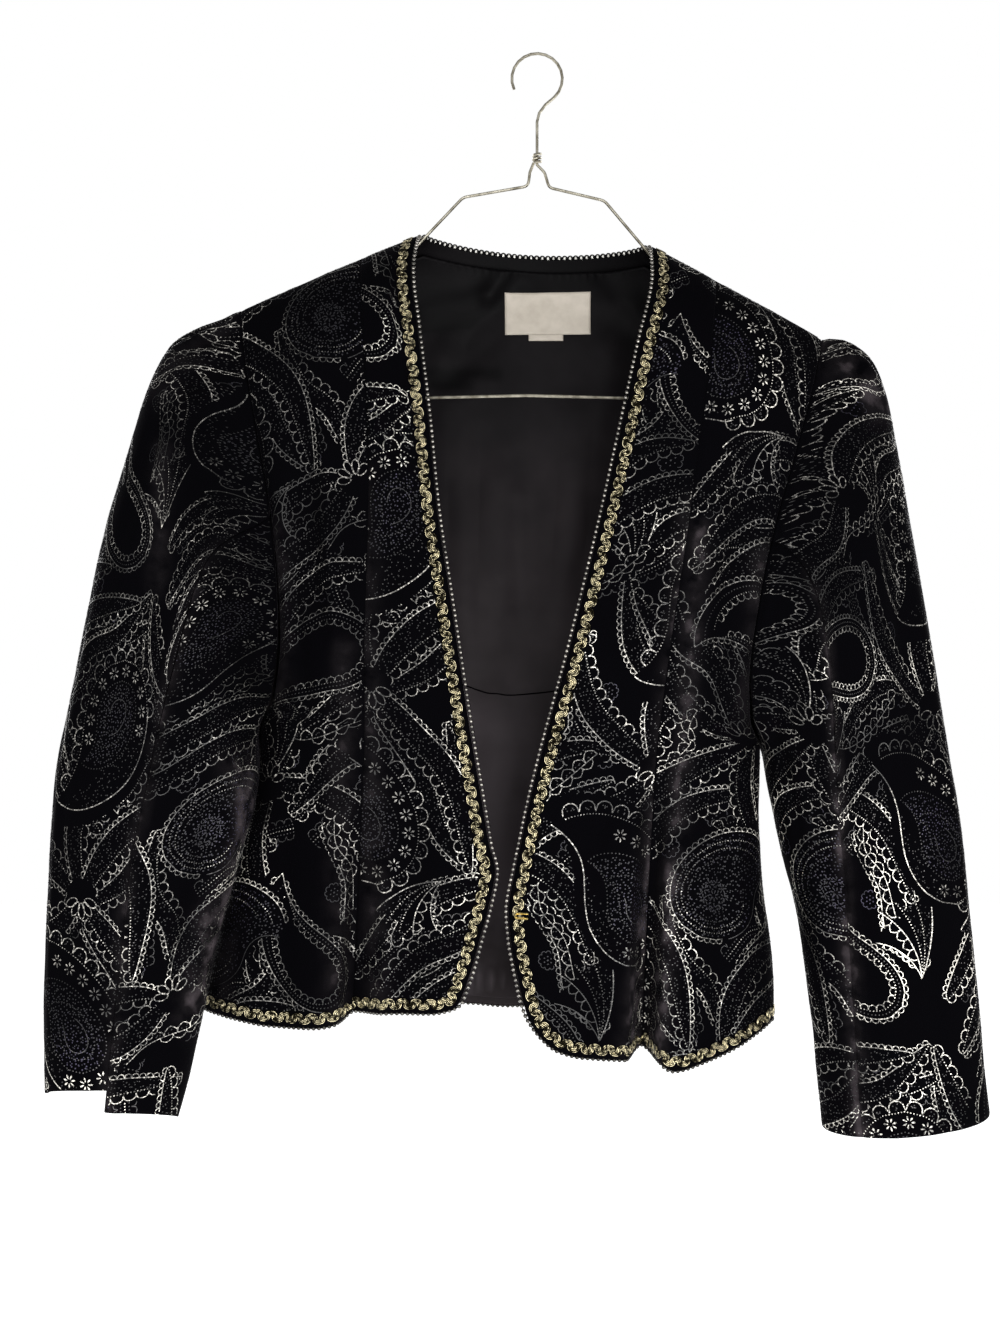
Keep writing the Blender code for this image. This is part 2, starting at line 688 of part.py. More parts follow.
def place(name, data, finish_name, parent=jacket_frame):
    data.materials.append(finish_material(name, finish_name))
    piece = bpy.data.objects.new(name, data)
    bpy.context.collection.objects.link(piece)
    piece.parent = parent
    return piece


def layer(name, panel, start, end, finish_name, keep=None):
    """A closed layer of a panel's cells between two distances along its outward directions."""
    columns = len(panel.points[0]) - 1
    rows = len(panel.points) - 1
    form = bmesh.new()
    bmesh.ops.create_grid(form, x_segments=columns, y_segments=rows, size=1.0)
    form.verts.ensure_lookup_table()
    form.faces.ensure_lookup_table()
    depth = form.verts.layers.float_vector.new("depth")
    for row in range(rows + 1):
        for column in range(columns + 1):
            vert = form.verts[row * (columns + 1) + column]
            normal = panel.normals[row][column]
            vert.co = (panel.points[row][column] + normal * start) * MM
            vert[depth] = normal * (end - start) * MM
    if keep:
        spare = [form.faces[row * columns + column] for row in range(rows) for column in range(columns)
                 if not keep(row, column)]
        bmesh.ops.delete(form, geom=spare, context="FACES")
    bmesh.ops.triangulate(form, faces=form.faces[:], quad_method="FIXED")
    copied = bmesh.ops.extrude_face_region(form, geom=form.faces[:], use_keep_orig=True)
    for vert in copied["geom"]:
        if isinstance(vert, bmesh.types.BMVert):
            vert.co += Vector(vert[depth])
    bmesh.ops.recalc_face_normals(form, faces=form.faces[:])
    mesh = bpy.data.meshes.new(name)
    form.to_mesh(mesh)
    form.free()
    mesh.shade_smooth()
    return place(name, mesh, finish_name)


def cloth(name, panel):
    return layer(name, panel, 0.0, -VELVET_WALL, "velvet")


def tube(name, path, radius, finish_name, rounding, parent=jacket_frame):
    """A round wire or edging along a path of points."""
    curve = bpy.data.curves.new(name, "CURVE")
    curve.dimensions = "3D"
    curve.bevel_depth = radius * MM
    curve.bevel_resolution = rounding
    curve.use_fill_caps = True
    spline = curve.splines.new("POLY")
    spline.points.add(len(path) - 1)
    for knot, point in zip(spline.points, path):
        knot.co = (*(Vector(point) * MM), 1.0)
    return place(name, curve, finish_name, parent)


# Edging along the free edges of the panels

EdgePlace = namedtuple("EdgePlace", "point normal outward")


def beside_edge(points, inner_points, normals):
    """Places of a free edge, with the direction that leads away from the panel, square to the edge."""
    places = []
    last = len(points) - 1
    for index, (point, inner, normal) in enumerate(zip(points, inner_points, normals)):
        before = (point - points[index - 1]).normalized() if index > 0 else None
        after = (points[index + 1] - point).normalized() if index < last else before
        before = before or after
        along = (before + after).normalized()
        away = point - inner
        away = (away - along * away.dot(along)).normalized()
        places.append(EdgePlace(point, normal, away / max(along.dot(before), SHARPEST_MITRE)))
    return places


def front_edge_places(panel):
    points = [row[0] for row in panel.points]
    inner_points = [row[1] for row in panel.points]
    return beside_edge(points, inner_points, [row[0] for row in panel.normals])


def hem_places(*panels):
    """Places along the hem of panels that are sewn side by side, with one place at each seam."""
    points = []
    inner_points = []
    normals = []
    for panel in panels:
        for kept, found in ((points, panel.points[-1]), (inner_points, panel.points[-2]),
                            (normals, panel.normals[-1])):
            kept[-1:] = found
    return beside_edge(points, inner_points, normals)


def edging_path(places, end_clear):
    """Path of the bead edging along a free edge, with both ends drawn in a little."""
    path = []
    for place_here in places:
        middle = place_here.point - place_here.normal * (VELVET_WALL / 2)
        path.append(middle + place_here.outward * (BEAD_RADIUS + SEAM_GAP))
    first = path[0] + (path[1] - path[0]).normalized() * end_clear
    last = path[-1] + (path[-2] - path[-1]).normalized() * end_clear
    return [first] + path[1:-1] + [last]


def front_edging(front, side_front):
    """From the neck down the front edge, round the corner and along the hem to the side seam."""
    down = front_edge_places(front)
    along = hem_places(front, side_front)
    corner = EdgePlace(down[-1].point, down[-1].normal, (down[-1].outward + along[0].outward).normalized())
    return edging_path(down[:-1] + [corner] + along[1:], EDGING_END_CLEAR)


# Small pieces

def panel_place(panel, x, height):
    """Point and outward direction of a panel's facets at a place seen from the front."""
    row = column = 0
    for _ in range(3):
        while column < len(panel.points[row]) - 2 and panel.points[row][column + 1].x < x:
            column += 1
        while column > 0 and panel.points[row][column].x > x:
            column -= 1
        while row < len(panel.points) - 2 and panel.points[row + 1][column].z > height:
            row += 1
        while row > 0 and panel.points[row][column].z < height:
            row -= 1
    across, down = 0.5, 0.5
    for _ in range(8):
        upper = panel.points[row][column].lerp(panel.points[row][column + 1], across)
        lower = panel.points[row + 1][column].lerp(panel.points[row + 1][column + 1], across)
        here = upper.lerp(lower, down)
        left = panel.points[row][column].lerp(panel.points[row + 1][column], down)
        right = panel.points[row][column + 1].lerp(panel.points[row + 1][column + 1], down)
        across += (x - here.x) / (right.x - left.x)
        down += (height - here.z) / (lower.z - upper.z)
    normal_upper = panel.normals[row][column].lerp(panel.normals[row][column + 1], across)
    normal_lower = panel.normals[row + 1][column].lerp(panel.normals[row + 1][column + 1], across)
    return here, normal_upper.lerp(normal_lower, down).normalized()


def patch(panel, box, columns, rows):
    """A small grid over a box of a panel's face."""
    low_x, high_x, low_z, high_z = box
    points = []
    normals = []
    for row in range(rows + 1):
        height = mix(high_z, low_z, row / rows)
        places = [panel_place(panel, mix(low_x, high_x, k / columns), height) for k in range(columns + 1)]
        points.append([found[0] for found in places])
        normals.append([found[1] for found in places])
    return Panel(points, normals)


def front_hook_path(panel):
    """A bent wire hook that lies across the braid, with its two ends sewn down."""
    x, height = FRONT_HOOK_PLACE
    lift = SEAM_GAP + BRAID_WALL + LAYER_GAP + FRONT_HOOK_WIRE
    half = FRONT_HOOK_WIDTH / 2
    outline = [(FRONT_HOOK_LENGTH / 2, half)]
    for k in range(FRONT_HOOK_STEPS + 1):
        turn = pi / 2 + pi * k / FRONT_HOOK_STEPS
        outline.append((-FRONT_HOOK_LENGTH / 2 + half + half * cos(turn), half * sin(turn)))
    outline.append((FRONT_HOOK_LENGTH / 2, -half))
    path = []
    for across, up in outline:
        point, normal = panel_place(panel, x + across, height + up)
        path.append(point + normal * lift)
    return path


# Hanger

def rounded_corner(before, corner, after):
    """Points of the bend that rounds one corner of the wire."""
    point = Vector((corner.x, 0.0, corner.z))
    back = (Vector((before.x, 0.0, before.z)) - point).normalized()
    ahead = (Vector((after.x, 0.0, after.z)) - point).normalized()
    half_angle = back.angle(ahead) / 2
    reach = min(corner.radius / abs(sin(half_angle) / cos(half_angle)), corner.radius)
    start = point + back * reach
    end = point + ahead * reach
    bend = []
    for k in range(BEND_STEPS + 1):
        share = k / BEND_STEPS
        bend.append(start.lerp(point, share).lerp(point.lerp(end, share), share))
    return bend


def hanger_path():
    """One wire: wrapped end, arm, bar, arm, shank and hook."""
    wrap = []
    for k in range(WRAP_STEPS + 1):
        turn = pi + 2 * pi * WRAP_TURNS * k / WRAP_STEPS
        rise = WRAP_FOOT + WRAP_RISE * WRAP_TURNS * k / WRAP_STEPS
        wrap.append(Vector((WRAP_RADIUS * cos(turn), WRAP_RADIUS * sin(turn), rise)))
    start = HookBend(-WRAP_RADIUS, WRAP_FOOT, 0)
    stops = (start,) + ARM_ON_RIGHT + HANGER_BAR + ARM_ON_LEFT + SHANK[:1]
    frame_wire = []
    for before, corner, after in zip(stops, stops[1:], stops[2:]):
        frame_wire += rounded_corner(before, corner, after)
    shank = [Vector((bend.x, 0.0, bend.z)) for bend in SHANK]
    hook_radius = HOOK_INNER + WIRE_RADIUS
    hook = []
    for k in range(HOOK_STEPS + 1):
        turn = mix(HOOK_FROM, HOOK_TO, k / HOOK_STEPS)
        hook.append(Vector((hook_radius * cos(turn), 0.0, hook_radius * sin(turn) - HOOK_INNER)))
    return wrap[::-1] + frame_wire + shank + hook


# The jacket and its hanger

back = back_panel()
cloth("back", back)
back_rows = len(back.points) - 1
back_columns = len(back.points[0]) - 1

lining_face = -VELVET_WALL - LAYER_GAP
layer("back_lining", back, lining_face, lining_face - LINING_WALL, "satin",
      keep=lambda row, column: 1 <= row < back_rows - 1 and 1 <= column < back_columns - 1)

label_face = lining_face - LINING_WALL - LAYER_GAP
for label_name, label_box in (("neck_label", LABEL_BOX), ("size_tab", TAB_BOX)):
    label_patch = patch(back, label_box, LABEL_COLUMNS, LABEL_ROWS)
    layer(label_name, label_patch, label_face, label_face - LABEL_WALL, "label")

braid_face = SEAM_GAP
braid_top = SEAM_GAP + BRAID_WALL
neck_first = BACK_SHOULDER_COLUMNS
neck_last = BACK_SHOULDER_COLUMNS + BACK_NECK_COLUMNS
hem_row = back_rows - 2
layer("braid_back_hem", back, braid_face, braid_top, "gimp", keep=lambda row, column: row == hem_row)
layer("braid_neck", back, braid_face, braid_top, "gimp",
      keep=lambda row, column: row == 1 and neck_first <= column < neck_last)
tube("bead_back_hem", edging_path(hem_places(back), EDGING_END_CLEAR), BEAD_RADIUS, "bead", 0)
neck_edge = beside_edge(*(rows[neck_first:neck_last + 1]
                          for rows in (back.points[0], back.points[1], back.normals[0])))
tube("bead_neck", edging_path(neck_edge, NECK_EDGING_END_CLEAR), BEAD_RADIUS, "bead", 0)

for side in (LEFT, RIGHT):
    name = SIDE_NAME[side]
    front = front_panel(side)
    side_front = side_front_panel(side)
    upper_sleeve, under_sleeve = sleeve_halves(side)
    cloth("front_" + name, front)
    cloth("side_front_" + name, side_front)
    cloth("sleeve_upper_" + name, upper_sleeve)
    cloth("sleeve_under_" + name, under_sleeve)
    layer("braid_front_" + name, front, braid_face, braid_top, "gimp",
          keep=lambda row, column: (column == 1 and row <= hem_row) or (row == hem_row and column >= 1))
    layer("braid_side_" + name, side_front, braid_face, braid_top, "gimp",
          keep=lambda row, column: row == hem_row)
    tube("bead_front_" + name, front_edging(front, side_front), BEAD_RADIUS, "bead", 0)
    if side == LEFT:
        tube("front_hook", front_hook_path(front), FRONT_HOOK_WIRE, "brass_wire", 0)

tube("hanger", hanger_path(), WIRE_RADIUS, "brass_wire", 2, parent=None)
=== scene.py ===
# %% [markdown]
# # A velvet evening jacket on a wire hanger
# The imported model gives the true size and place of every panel. This lesson dresses it: each panel
# becomes a finer sheet of velvet on the same form, then come the printed paisley, the lining, the braid,
# the beads, the small metal parts and the light.

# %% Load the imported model
import random
from collections import namedtuple
from functools import partial
from math import acos, cos, hypot, pi, radians, sin

import bmesh
import bpy
import numpy as np
from mathutils import Matrix, Vector, noise
from mathutils.bvhtree import BVHTree

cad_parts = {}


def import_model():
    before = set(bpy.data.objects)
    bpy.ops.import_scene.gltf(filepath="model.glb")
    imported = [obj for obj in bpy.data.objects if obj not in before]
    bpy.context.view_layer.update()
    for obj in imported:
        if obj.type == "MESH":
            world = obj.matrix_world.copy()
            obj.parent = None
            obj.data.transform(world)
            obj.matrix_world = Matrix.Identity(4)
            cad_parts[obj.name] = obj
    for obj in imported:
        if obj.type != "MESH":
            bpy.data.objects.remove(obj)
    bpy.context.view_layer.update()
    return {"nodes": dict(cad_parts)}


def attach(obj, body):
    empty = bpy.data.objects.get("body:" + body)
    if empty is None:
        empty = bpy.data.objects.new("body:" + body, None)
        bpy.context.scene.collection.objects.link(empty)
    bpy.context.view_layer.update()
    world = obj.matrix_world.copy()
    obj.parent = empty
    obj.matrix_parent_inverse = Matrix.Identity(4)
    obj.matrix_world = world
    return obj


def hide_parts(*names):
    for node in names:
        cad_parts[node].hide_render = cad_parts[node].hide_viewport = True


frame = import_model()

# %% [markdown]
# A jacket never hangs quite straight on a wire hanger. All sizes below are millimetres in the jacket's own
# frame, with x to the wearer's left, y to the back and z up from a point midway between the neck points.
# One small turn and one shift then take every point into the frame of the hook.

# %% From the jacket's frame to the hook's
MM = 0.001
FRONT, BACK = -1, 1
LEFT, RIGHT = 1, -1
SIDE_NAME = {LEFT: "left", RIGHT: "right"}
NECK_PLACE = np.array((-1.4, 0.0, -132.6))
JACKET_LEAN = radians(2.8)
TURN = np.array((
    (cos(JACKET_LEAN), 0.0, sin(JACKET_LEAN)),
    (0.0, 1.0, 0.0),
    (-sin(JACKET_LEAN), 0.0, cos(JACKET_LEAN)),
))


def world(points):
    """Jacket millimetres as metres in the frame of the hook."""
    return (np.asarray(points) @ TURN.T + NECK_PLACE) * MM


print("neck middle in m:", world((0.0, 0.0, 0.0)).round(4))

# %% [markdown]
# A pattern cutter works from a short list of body measures. The body is a stack of level sections, so its
# table gives half widths and depths at a few heights. The seams and hems are lines on that form, given as
# distances from the middle of the body.

# %% Measures of the body
NECK_HALF = 82.2
NECK_DROP = 7.0
SHOULDER_HALF = 208.0
SHOULDER_DROP = 60.0
SHOULDER_ROLL = 75.0
RIDGE_ROUND = 30.0
UNDERARM = -352.0
SECTION_POWER = 2.4
VELVET_WALL = 2.0
SEAM_GAP = 0.3
BodyLevel = namedtuple("BodyLevel", "height half_left half_right front_depth back_depth")
BODY_LEVELS = (
    BodyLevel(60, 228, 228, 44, 40),
    BodyLevel(-60, 224, 224, 46, 42),
    BodyLevel(-150, 214, 214, 52, 46),
    BodyLevel(-250, 195, 195, 58, 47),
    BodyLevel(-310, 182.5, 182.5, 60, 46),
    BodyLevel(UNDERARM, 178, 178, 60, 45),
    BodyLevel(-390, 179, 180, 59, 44),
    BodyLevel(-440, 183, 189, 57, 43),
    BodyLevel(-500, 193.5, 202, 56, 43),
    BodyLevel(-545, 197.5, 210, 56, 44),
    BodyLevel(-590, 199.5, 217, 57, 46),
)
ArmholeRow = namedtuple("ArmholeRow", "height reach")
ARMHOLE = (
    ArmholeRow(-60, SHOULDER_HALF),
    ArmholeRow(-105, 199.5),
    ArmholeRow(-150, 189),
    ArmholeRow(-200, 177.5),
    ArmholeRow(-250, 169.5),
    ArmholeRow(-300, 165.5),
    ArmholeRow(-335, 168.5),
    ArmholeRow(UNDERARM, 178),
)
SeamRow = namedtuple("SeamRow", "height left right")
FRONT_EDGE = (
    SeamRow(0, 83.5, 84.5),
    SeamRow(-25, 85, 86.5),
    SeamRow(-75, 76.5, 79),
    SeamRow(-130, 67, 69.5),
    SeamRow(-200, 55, 59),
    SeamRow(-250, 45.5, 49),
    SeamRow(-300, 35.5, 39),
    SeamRow(-352, 24, 28.5),
    SeamRow(-400, 14.5, 18),
    SeamRow(-430, 9.8, 11.5),
    SeamRow(-447, 7, 6.7),
    SeamRow(-470, 4, 9.8),
    SeamRow(-490, 6, 14.2),
    SeamRow(-520, 13, 21),
    SeamRow(-545, 20.5, 30),
    SeamRow(-558, 28.5, 40),
)
PRINCESS_SEAM = (
    SeamRow(-20, 131, 124),
    SeamRow(-130, 122, 112),
    SeamRow(-200, 116, 107),
    SeamRow(-300, 106, 105),
    SeamRow(-372, 101, 101.5),
    SeamRow(-440, 101, 101.5),
    SeamRow(-580, 103, 101.5),
)
HemRow = namedtuple("HemRow", "reach height")
SIDE_HEM = {LEFT: -546.0, RIGHT: -556.0}
FRONT_HEM = {
    LEFT: (HemRow(27, -557), HemRow(42, -568.5), HemRow(60, -572.5), HemRow(90, -573), HemRow(103, -567)),
    RIGHT: (HemRow(29, -543), HemRow(45, -547), HemRow(75, -548.5), HemRow(101.5, -551)),
}
SIDE_FRONT_HEM = {
    LEFT: (HemRow(103, -567), HemRow(114, -575), HemRow(123, -580), HemRow(145, -573.5),
           HemRow(169, -563), HemRow(196, SIDE_HEM[LEFT])),
    RIGHT: (HemRow(101.5, -551), HemRow(108, -557), HemRow(125, -562), HemRow(155, -563),
            HemRow(187, -560), HemRow(213, SIDE_HEM[RIGHT])),
}
BACK_HEM = (
    HemRow(-213, SIDE_HEM[RIGHT]),
    HemRow(-100, -553),
    HemRow(0, -553),
    HemRow(100, -551),
    HemRow(196, SIDE_HEM[LEFT]),
)
print("back length in mm:", -BACK_HEM[2].height)

# %% [markdown]
# A smooth curve through a table keeps every listed value and never swings past it. The slope at each row is
# the harmonic mean of the slopes beside it, and it is level where the table turns back.

# %% Smooth lines through the tables
def mix(start, end, share):
    return start + (end - start) * share


def ease(share):
    """Smooth step from 0 to 1."""
    held = np.clip(share, 0.0, 1.0)
    return held * held * (3 - 2 * held)


def smooth_column(rows, key_name, value_name):
    """A smooth line through one column of a table, read at any array of keys."""
    pairs = sorted((getattr(row, key_name), getattr(row, value_name)) for row in rows)
    keys, values = np.array(pairs, float).T
    steps = np.diff(values) / np.diff(keys)
    product = steps[:-1] * steps[1:]
    both = np.where(product > 0, steps[:-1] + steps[1:], 1.0)
    middle = np.where(product > 0, 2 * product / both, 0.0)
    slopes = np.concatenate([steps[:1], middle, steps[-1:]])

    def value_at(key):
        i = np.clip(np.searchsorted(keys, key) - 1, 0, len(keys) - 2)
        span = keys[i + 1] - keys[i]
        t = np.clip((key - keys[i]) / span, 0.0, 1.0)
        bend = t * (1 - t) * span * ((1 - t) * slopes[i] - t * slopes[i + 1])
        return mix(values[i], values[i + 1], ease(t)) + bend

    return value_at


half_width = {side: smooth_column(BODY_LEVELS, "height", "half_" + SIDE_NAME[side]) for side in (LEFT, RIGHT)}
body_depth = {
    FRONT: smooth_column(BODY_LEVELS, "height", "front_depth"),
    BACK: smooth_column(BODY_LEVELS, "height", "back_depth"),
}
armhole_reach = smooth_column(ARMHOLE, "height", "reach")
front_edge = {side: smooth_column(FRONT_EDGE, "height", SIDE_NAME[side]) for side in (LEFT, RIGHT)}
princess = {side: smooth_column(PRINCESS_SEAM, "height", SIDE_NAME[side]) for side in (LEFT, RIGHT)}
front_hem = {side: smooth_column(FRONT_HEM[side], "reach", "height") for side in (LEFT, RIGHT)}
side_front_hem = {side: smooth_column(SIDE_FRONT_HEM[side], "reach", "height") for side in (LEFT, RIGHT)}
back_hem = smooth_column(BACK_HEM, "reach", "height")
print("half width at the underarm:", half_width[LEFT](UNDERARM))

# %% [markdown]
# Cloth that hangs empty falls into troughs and ridges. Wide soft ones follow the pull of the shoulder and
# the hem, and narrow ones fan out from the armholes and the closing hook. Each is a line from its top to its
# foot with a width and a depth, and a negative depth stands out as a ridge. They are placed one by one and
# uneven, and the back has folds like those of the front.

# %% Folds and pleats of the body
Pleat = namedtuple("Pleat", "depth start end front_width side_width")
PLEAT_FLOOR = 3.0
PLEAT_GROWTH = 1.4
PLEATS = {
    LEFT: Pleat(30, -330, -575, 10, 9),
    RIGHT: Pleat(17, -360, -560, 20, 7),
}
Fold = namedtuple("Fold", "face top_x top_z foot_x foot_z width depth")
FOLD_RISE = 0.5
FOLD_FALL = 0.3
FOLDS = (
    Fold(FRONT, 165, -95, 140, -300, 17, 6),
    Fold(FRONT, -160, -95, -142, -310, 18, 6),
    Fold(FRONT, 66, -330, 58, -600, 15, 4),
    Fold(FRONT, -62, -300, -66, -590, 16, 4),
    Fold(FRONT, 152, -370, 158, -600, 14, 5),
    Fold(FRONT, -158, -380, -150, -600, 15, 5),
    Fold(BACK, 120, -90, 105, -330, 20, 6),
    Fold(BACK, -118, -100, -100, -350, 20, 6),
    Fold(BACK, 68, -330, 76, -600, 22, 7),
    Fold(BACK, -60, -350, -72, -600, 20, 7),
    Fold(BACK, 4, -380, 2, -600, 18, 5),
)
CREASES = (
    Fold(FRONT, 172, -190, 138, -360, 9, 2.4),
    Fold(FRONT, 150, -150, 124, -330, 8, -1.8),
    Fold(FRONT, 168, -300, 128, -430, 8, 2.2),
    Fold(FRONT, 108, -120, 72, -330, 9, 1.8),
    Fold(FRONT, 84, -380, 44, -520, 8, -1.6),
    Fold(FRONT, 136, -430, 134, -600, 9, -2.2),
    Fold(FRONT, 176, -420, 184, -600, 8, 2.0),
    Fold(FRONT, -170, -200, -136, -370, 9, 2.4),
    Fold(FRONT, -148, -140, -120, -330, 8, -1.8),
    Fold(FRONT, -166, -310, -124, -440, 8, 2.0),
    Fold(FRONT, -100, -130, -78, -330, 9, 1.6),
    Fold(FRONT, -44, -400, -36, -560, 8, -1.6),
    Fold(FRONT, -130, -430, -128, -600, 9, -2.0),
    Fold(FRONT, -184, -430, -196, -600, 9, 2.2),
    Fold(BACK, 150, -140, 132, -380, 11, 2.6),
    Fold(BACK, -148, -130, -128, -360, 11, 2.6),
    Fold(BACK, 40, -60, 34, -300, 12, 2.0),
    Fold(BACK, -46, -80, -38, -330, 12, 2.0),
    Fold(BACK, 132, -380, 140, -600, 12, -2.6),
    Fold(BACK, -130, -390, -140, -600, 12, -2.6),
    Fold(BACK, 34, -400, 36, -600, 10, -2.0),
    Fold(BACK, -26, -410, -34, -600, 10, -2.0),
    Fold(BACK, 170, -330, 176, -560, 9, 2.0),
    Fold(BACK, -172, -340, -182, -570, 9, 2.0),
)


def by_side(x, lines, height):
    return np.where(x >= 0, lines[LEFT](height), lines[RIGHT](height))


def pleat_depth(x, height):
    """How far the princess pleat pulls the front inwards."""
    total = np.zeros_like(x)
    for side, pleat in PLEATS.items():
        grown = np.maximum((pleat.start - height) / (pleat.start - pleat.end), 0.0) ** PLEAT_GROWTH
        off_seam = side * x - princess[side](height)
        width = np.where(off_seam < 0, pleat.front_width, pleat.side_width)
        pull = pleat.depth * grown * (1 - ease((np.abs(off_seam) - PLEAT_FLOOR) / width))
        total += np.where(side * x >= 0, pull, 0.0)
    return total


def fold_depth(x, height, face):
    """How far the folds of this face pull the cloth inwards."""
    total = np.zeros_like(x)
    for fold in FOLDS + CREASES:
        if fold.face == face:
            along = (height - fold.top_z) / (fold.foot_z - fold.top_z)
            off = (x - mix(fold.top_x, fold.foot_x, along)) / fold.width
            swell = ease(along / FOLD_RISE) * ease((1 - along) / FOLD_FALL)
            total += fold.depth * swell * np.maximum(1 - off * off, 0.0) ** 2
    return total


print("folds and creases:", len(FOLDS), len(CREASES))

# %% [markdown]
# Seen from above, a hanging jacket is a flattened oval, a little squarer than an ellipse. A superellipse
# gives that section from an angle and a height. Near the shoulder line the depth rolls to nothing, which
# closes the form over the hanger.

# %% The form of the body
def shoulder_height(x):
    """Height of the shoulder line, carried on across the neck as a rounded ridge."""
    neck_reach = hypot(NECK_HALF, RIDGE_ROUND)
    tip_reach = hypot(SHOULDER_HALF, RIDGE_ROUND)
    return -SHOULDER_DROP * (np.hypot(x, RIDGE_ROUND) - neck_reach) / (tip_reach - neck_reach)


def neck_height(x):
    """Height of the back neckline, which dips a little between the neck points."""
    return -NECK_DROP * (1 - (x / NECK_HALF) ** 2)


def body_angle(x, height):
    """Angle round the section: 0 at the wearer's left side, pi at the right."""
    share = np.minimum(np.abs(x) / by_side(x, half_width, height), 1.0)
    return np.arccos(np.where(x >= 0, 1.0, -1.0) * share ** (SECTION_POWER / 2))


def body_x(angle, height):
    across = np.cos(angle)
    return np.sign(across) * by_side(across, half_width, height) * np.abs(across) ** (2 / SECTION_POWER)


def body_points(angle, height, face):
    """Points of the body's outer face."""
    x = body_x(angle, height)
    drop = np.clip((shoulder_height(x) - height) / SHOULDER_ROLL, 0.0, 1.0)
    rolled = np.sqrt(1 - (1 - drop) ** 2)
    out = np.abs(np.sin(angle))
    depth = body_depth[face](height) * out ** (2 / SECTION_POWER) * rolled
    depth -= fold_depth(x, height, face) * rolled * out
    if face == FRONT:
        depth -= pleat_depth(x, height)
    return np.stack([x, face * depth, height], axis=-1)


print("chest point in mm:", body_points(np.array(pi / 2), np.array(-250.0), FRONT).round(1))

# %% [markdown]
# Every panel is a grid of points with an outward direction at each one, and with its flat map. The map
# measures across the rows and along the columns, as a tape would on the cut cloth, and the print is laid by
# it. Seams pull the pile in a little, so the cloth dips beside them, and hand and steam leave it slightly
# uneven.

# %% Grids of cloth
Panel = namedtuple("Panel", "points normals flat")
TINY = 1e-9
SEAM_DIP = 1.1
SEAM_DIP_WIDTH = 3.2
RIPPLES = ((38.0, 0.55), (13.0, 0.16))


def unit(vectors):
    """The same directions with a length of one."""
    return vectors / np.maximum(np.linalg.norm(vectors, axis=-1, keepdims=True), TINY)


def grid_normals(points, outward):
    """Outward directions of a grid, from its neighbouring points."""
    normals = unit(np.cross(np.gradient(points, axis=1), np.gradient(points, axis=0)))
    return normals if np.sum(normals * outward) > 0 else -normals


def flat_map(points, base_row, facing):
    """Places of a grid's points on the flat cloth: across its rows and along its columns."""
    across = np.linalg.norm(np.diff(points, axis=1), axis=2)
    s = np.pad(np.cumsum(across, axis=1), ((0, 0), (1, 0)))
    s -= s[:, s.shape[1] // 2][:, None]
    down = np.linalg.norm(np.diff(points, axis=0), axis=2)
    t = -np.pad(np.cumsum(down, axis=0), ((1, 0), (0, 0)))
    t += points[base_row, :, 2] - t[base_row]
    return np.stack([facing * s, t], axis=-1)


def rippled(points):
    """Small unevenness of cloth at each point of a grid, in millimetres."""
    rows = points.reshape(-1, 3)
    total = np.zeros(len(rows))
    for length, height in RIPPLES:
        total += height * np.array([noise.noise(place / length) for place in map(Vector, rows.tolist())])
    return total.reshape(points.shape[:2])


def sewn_panel(points, outward, base_row, facing, seams):
    """A panel whose named edges are sewn: first, last or top."""
    normals = grid_normals(points, outward)
    flat = flat_map(points, base_row, facing)
    off = {
        "first": np.abs(flat[..., 0] - flat[:, :1, 0]),
        "last": np.abs(flat[..., 0] - flat[:, -1:, 0]),
        "top": np.abs(flat[..., 1] - flat[:1, :, 1]),
    }
    dip = sum(SEAM_DIP * np.exp(-(off[name] / SEAM_DIP_WIDTH) ** 2) for name in seams)
    moved = points + normals * (rippled(points) - dip)[..., None]
    return Panel(moved, grid_normals(moved, outward), flat)


print("ripple lengths in mm:", [length for length, _ in RIPPLES])

# %% [markdown]
# The front of each side is cut in two: a centre front along the opening and a side front to the armhole.
# They meet in a princess seam from the shoulder, which opens into a pleat at the hem. Extra columns lie
# close together along the trimmed edge and in the pleat, where the form bends most.

# %% Fronts, side fronts and back
TRIM_MIDDLE = 6.3
TRIM_LIMIT = 10.0
EDGE_COLUMNS = (0.0, 2.6, 4.5, TRIM_MIDDLE, 8.1, TRIM_LIMIT, 13.0)
HEM_ROWS = EDGE_COLUMNS[::-1]
TRIM_COLUMN = EDGE_COLUMNS.index(TRIM_MIDDLE)
TRIM_ROW = -1 - TRIM_COLUMN
PLEAT_COLUMNS = (0.0, 1.5, 3.0, 4.5, 6.0, 7.5, 9.0, 10.5, 12.0, 13.5, 15.0, 17.0, 20.0)
ROLL_ROWS = 16
UPPER_ROWS = 58
LOWER_ROWS = 54
UNDERARM_ROW = ROLL_ROWS + UPPER_ROWS
FRONT_SPARE_COLUMNS = 16
SIDE_SPARE_COLUMNS = 26
BACK_SHOULDER_COLUMNS = 28
BACK_NECK_COLUMNS = 44
NECK_FIRST = BACK_SHOULDER_COLUMNS
NECK_LAST = NECK_FIRST + BACK_NECK_COLUMNS
TOWARDS = {FRONT: np.array((0.0, -1.0, 0.0)), BACK: np.array((0.0, 1.0, 0.0))}


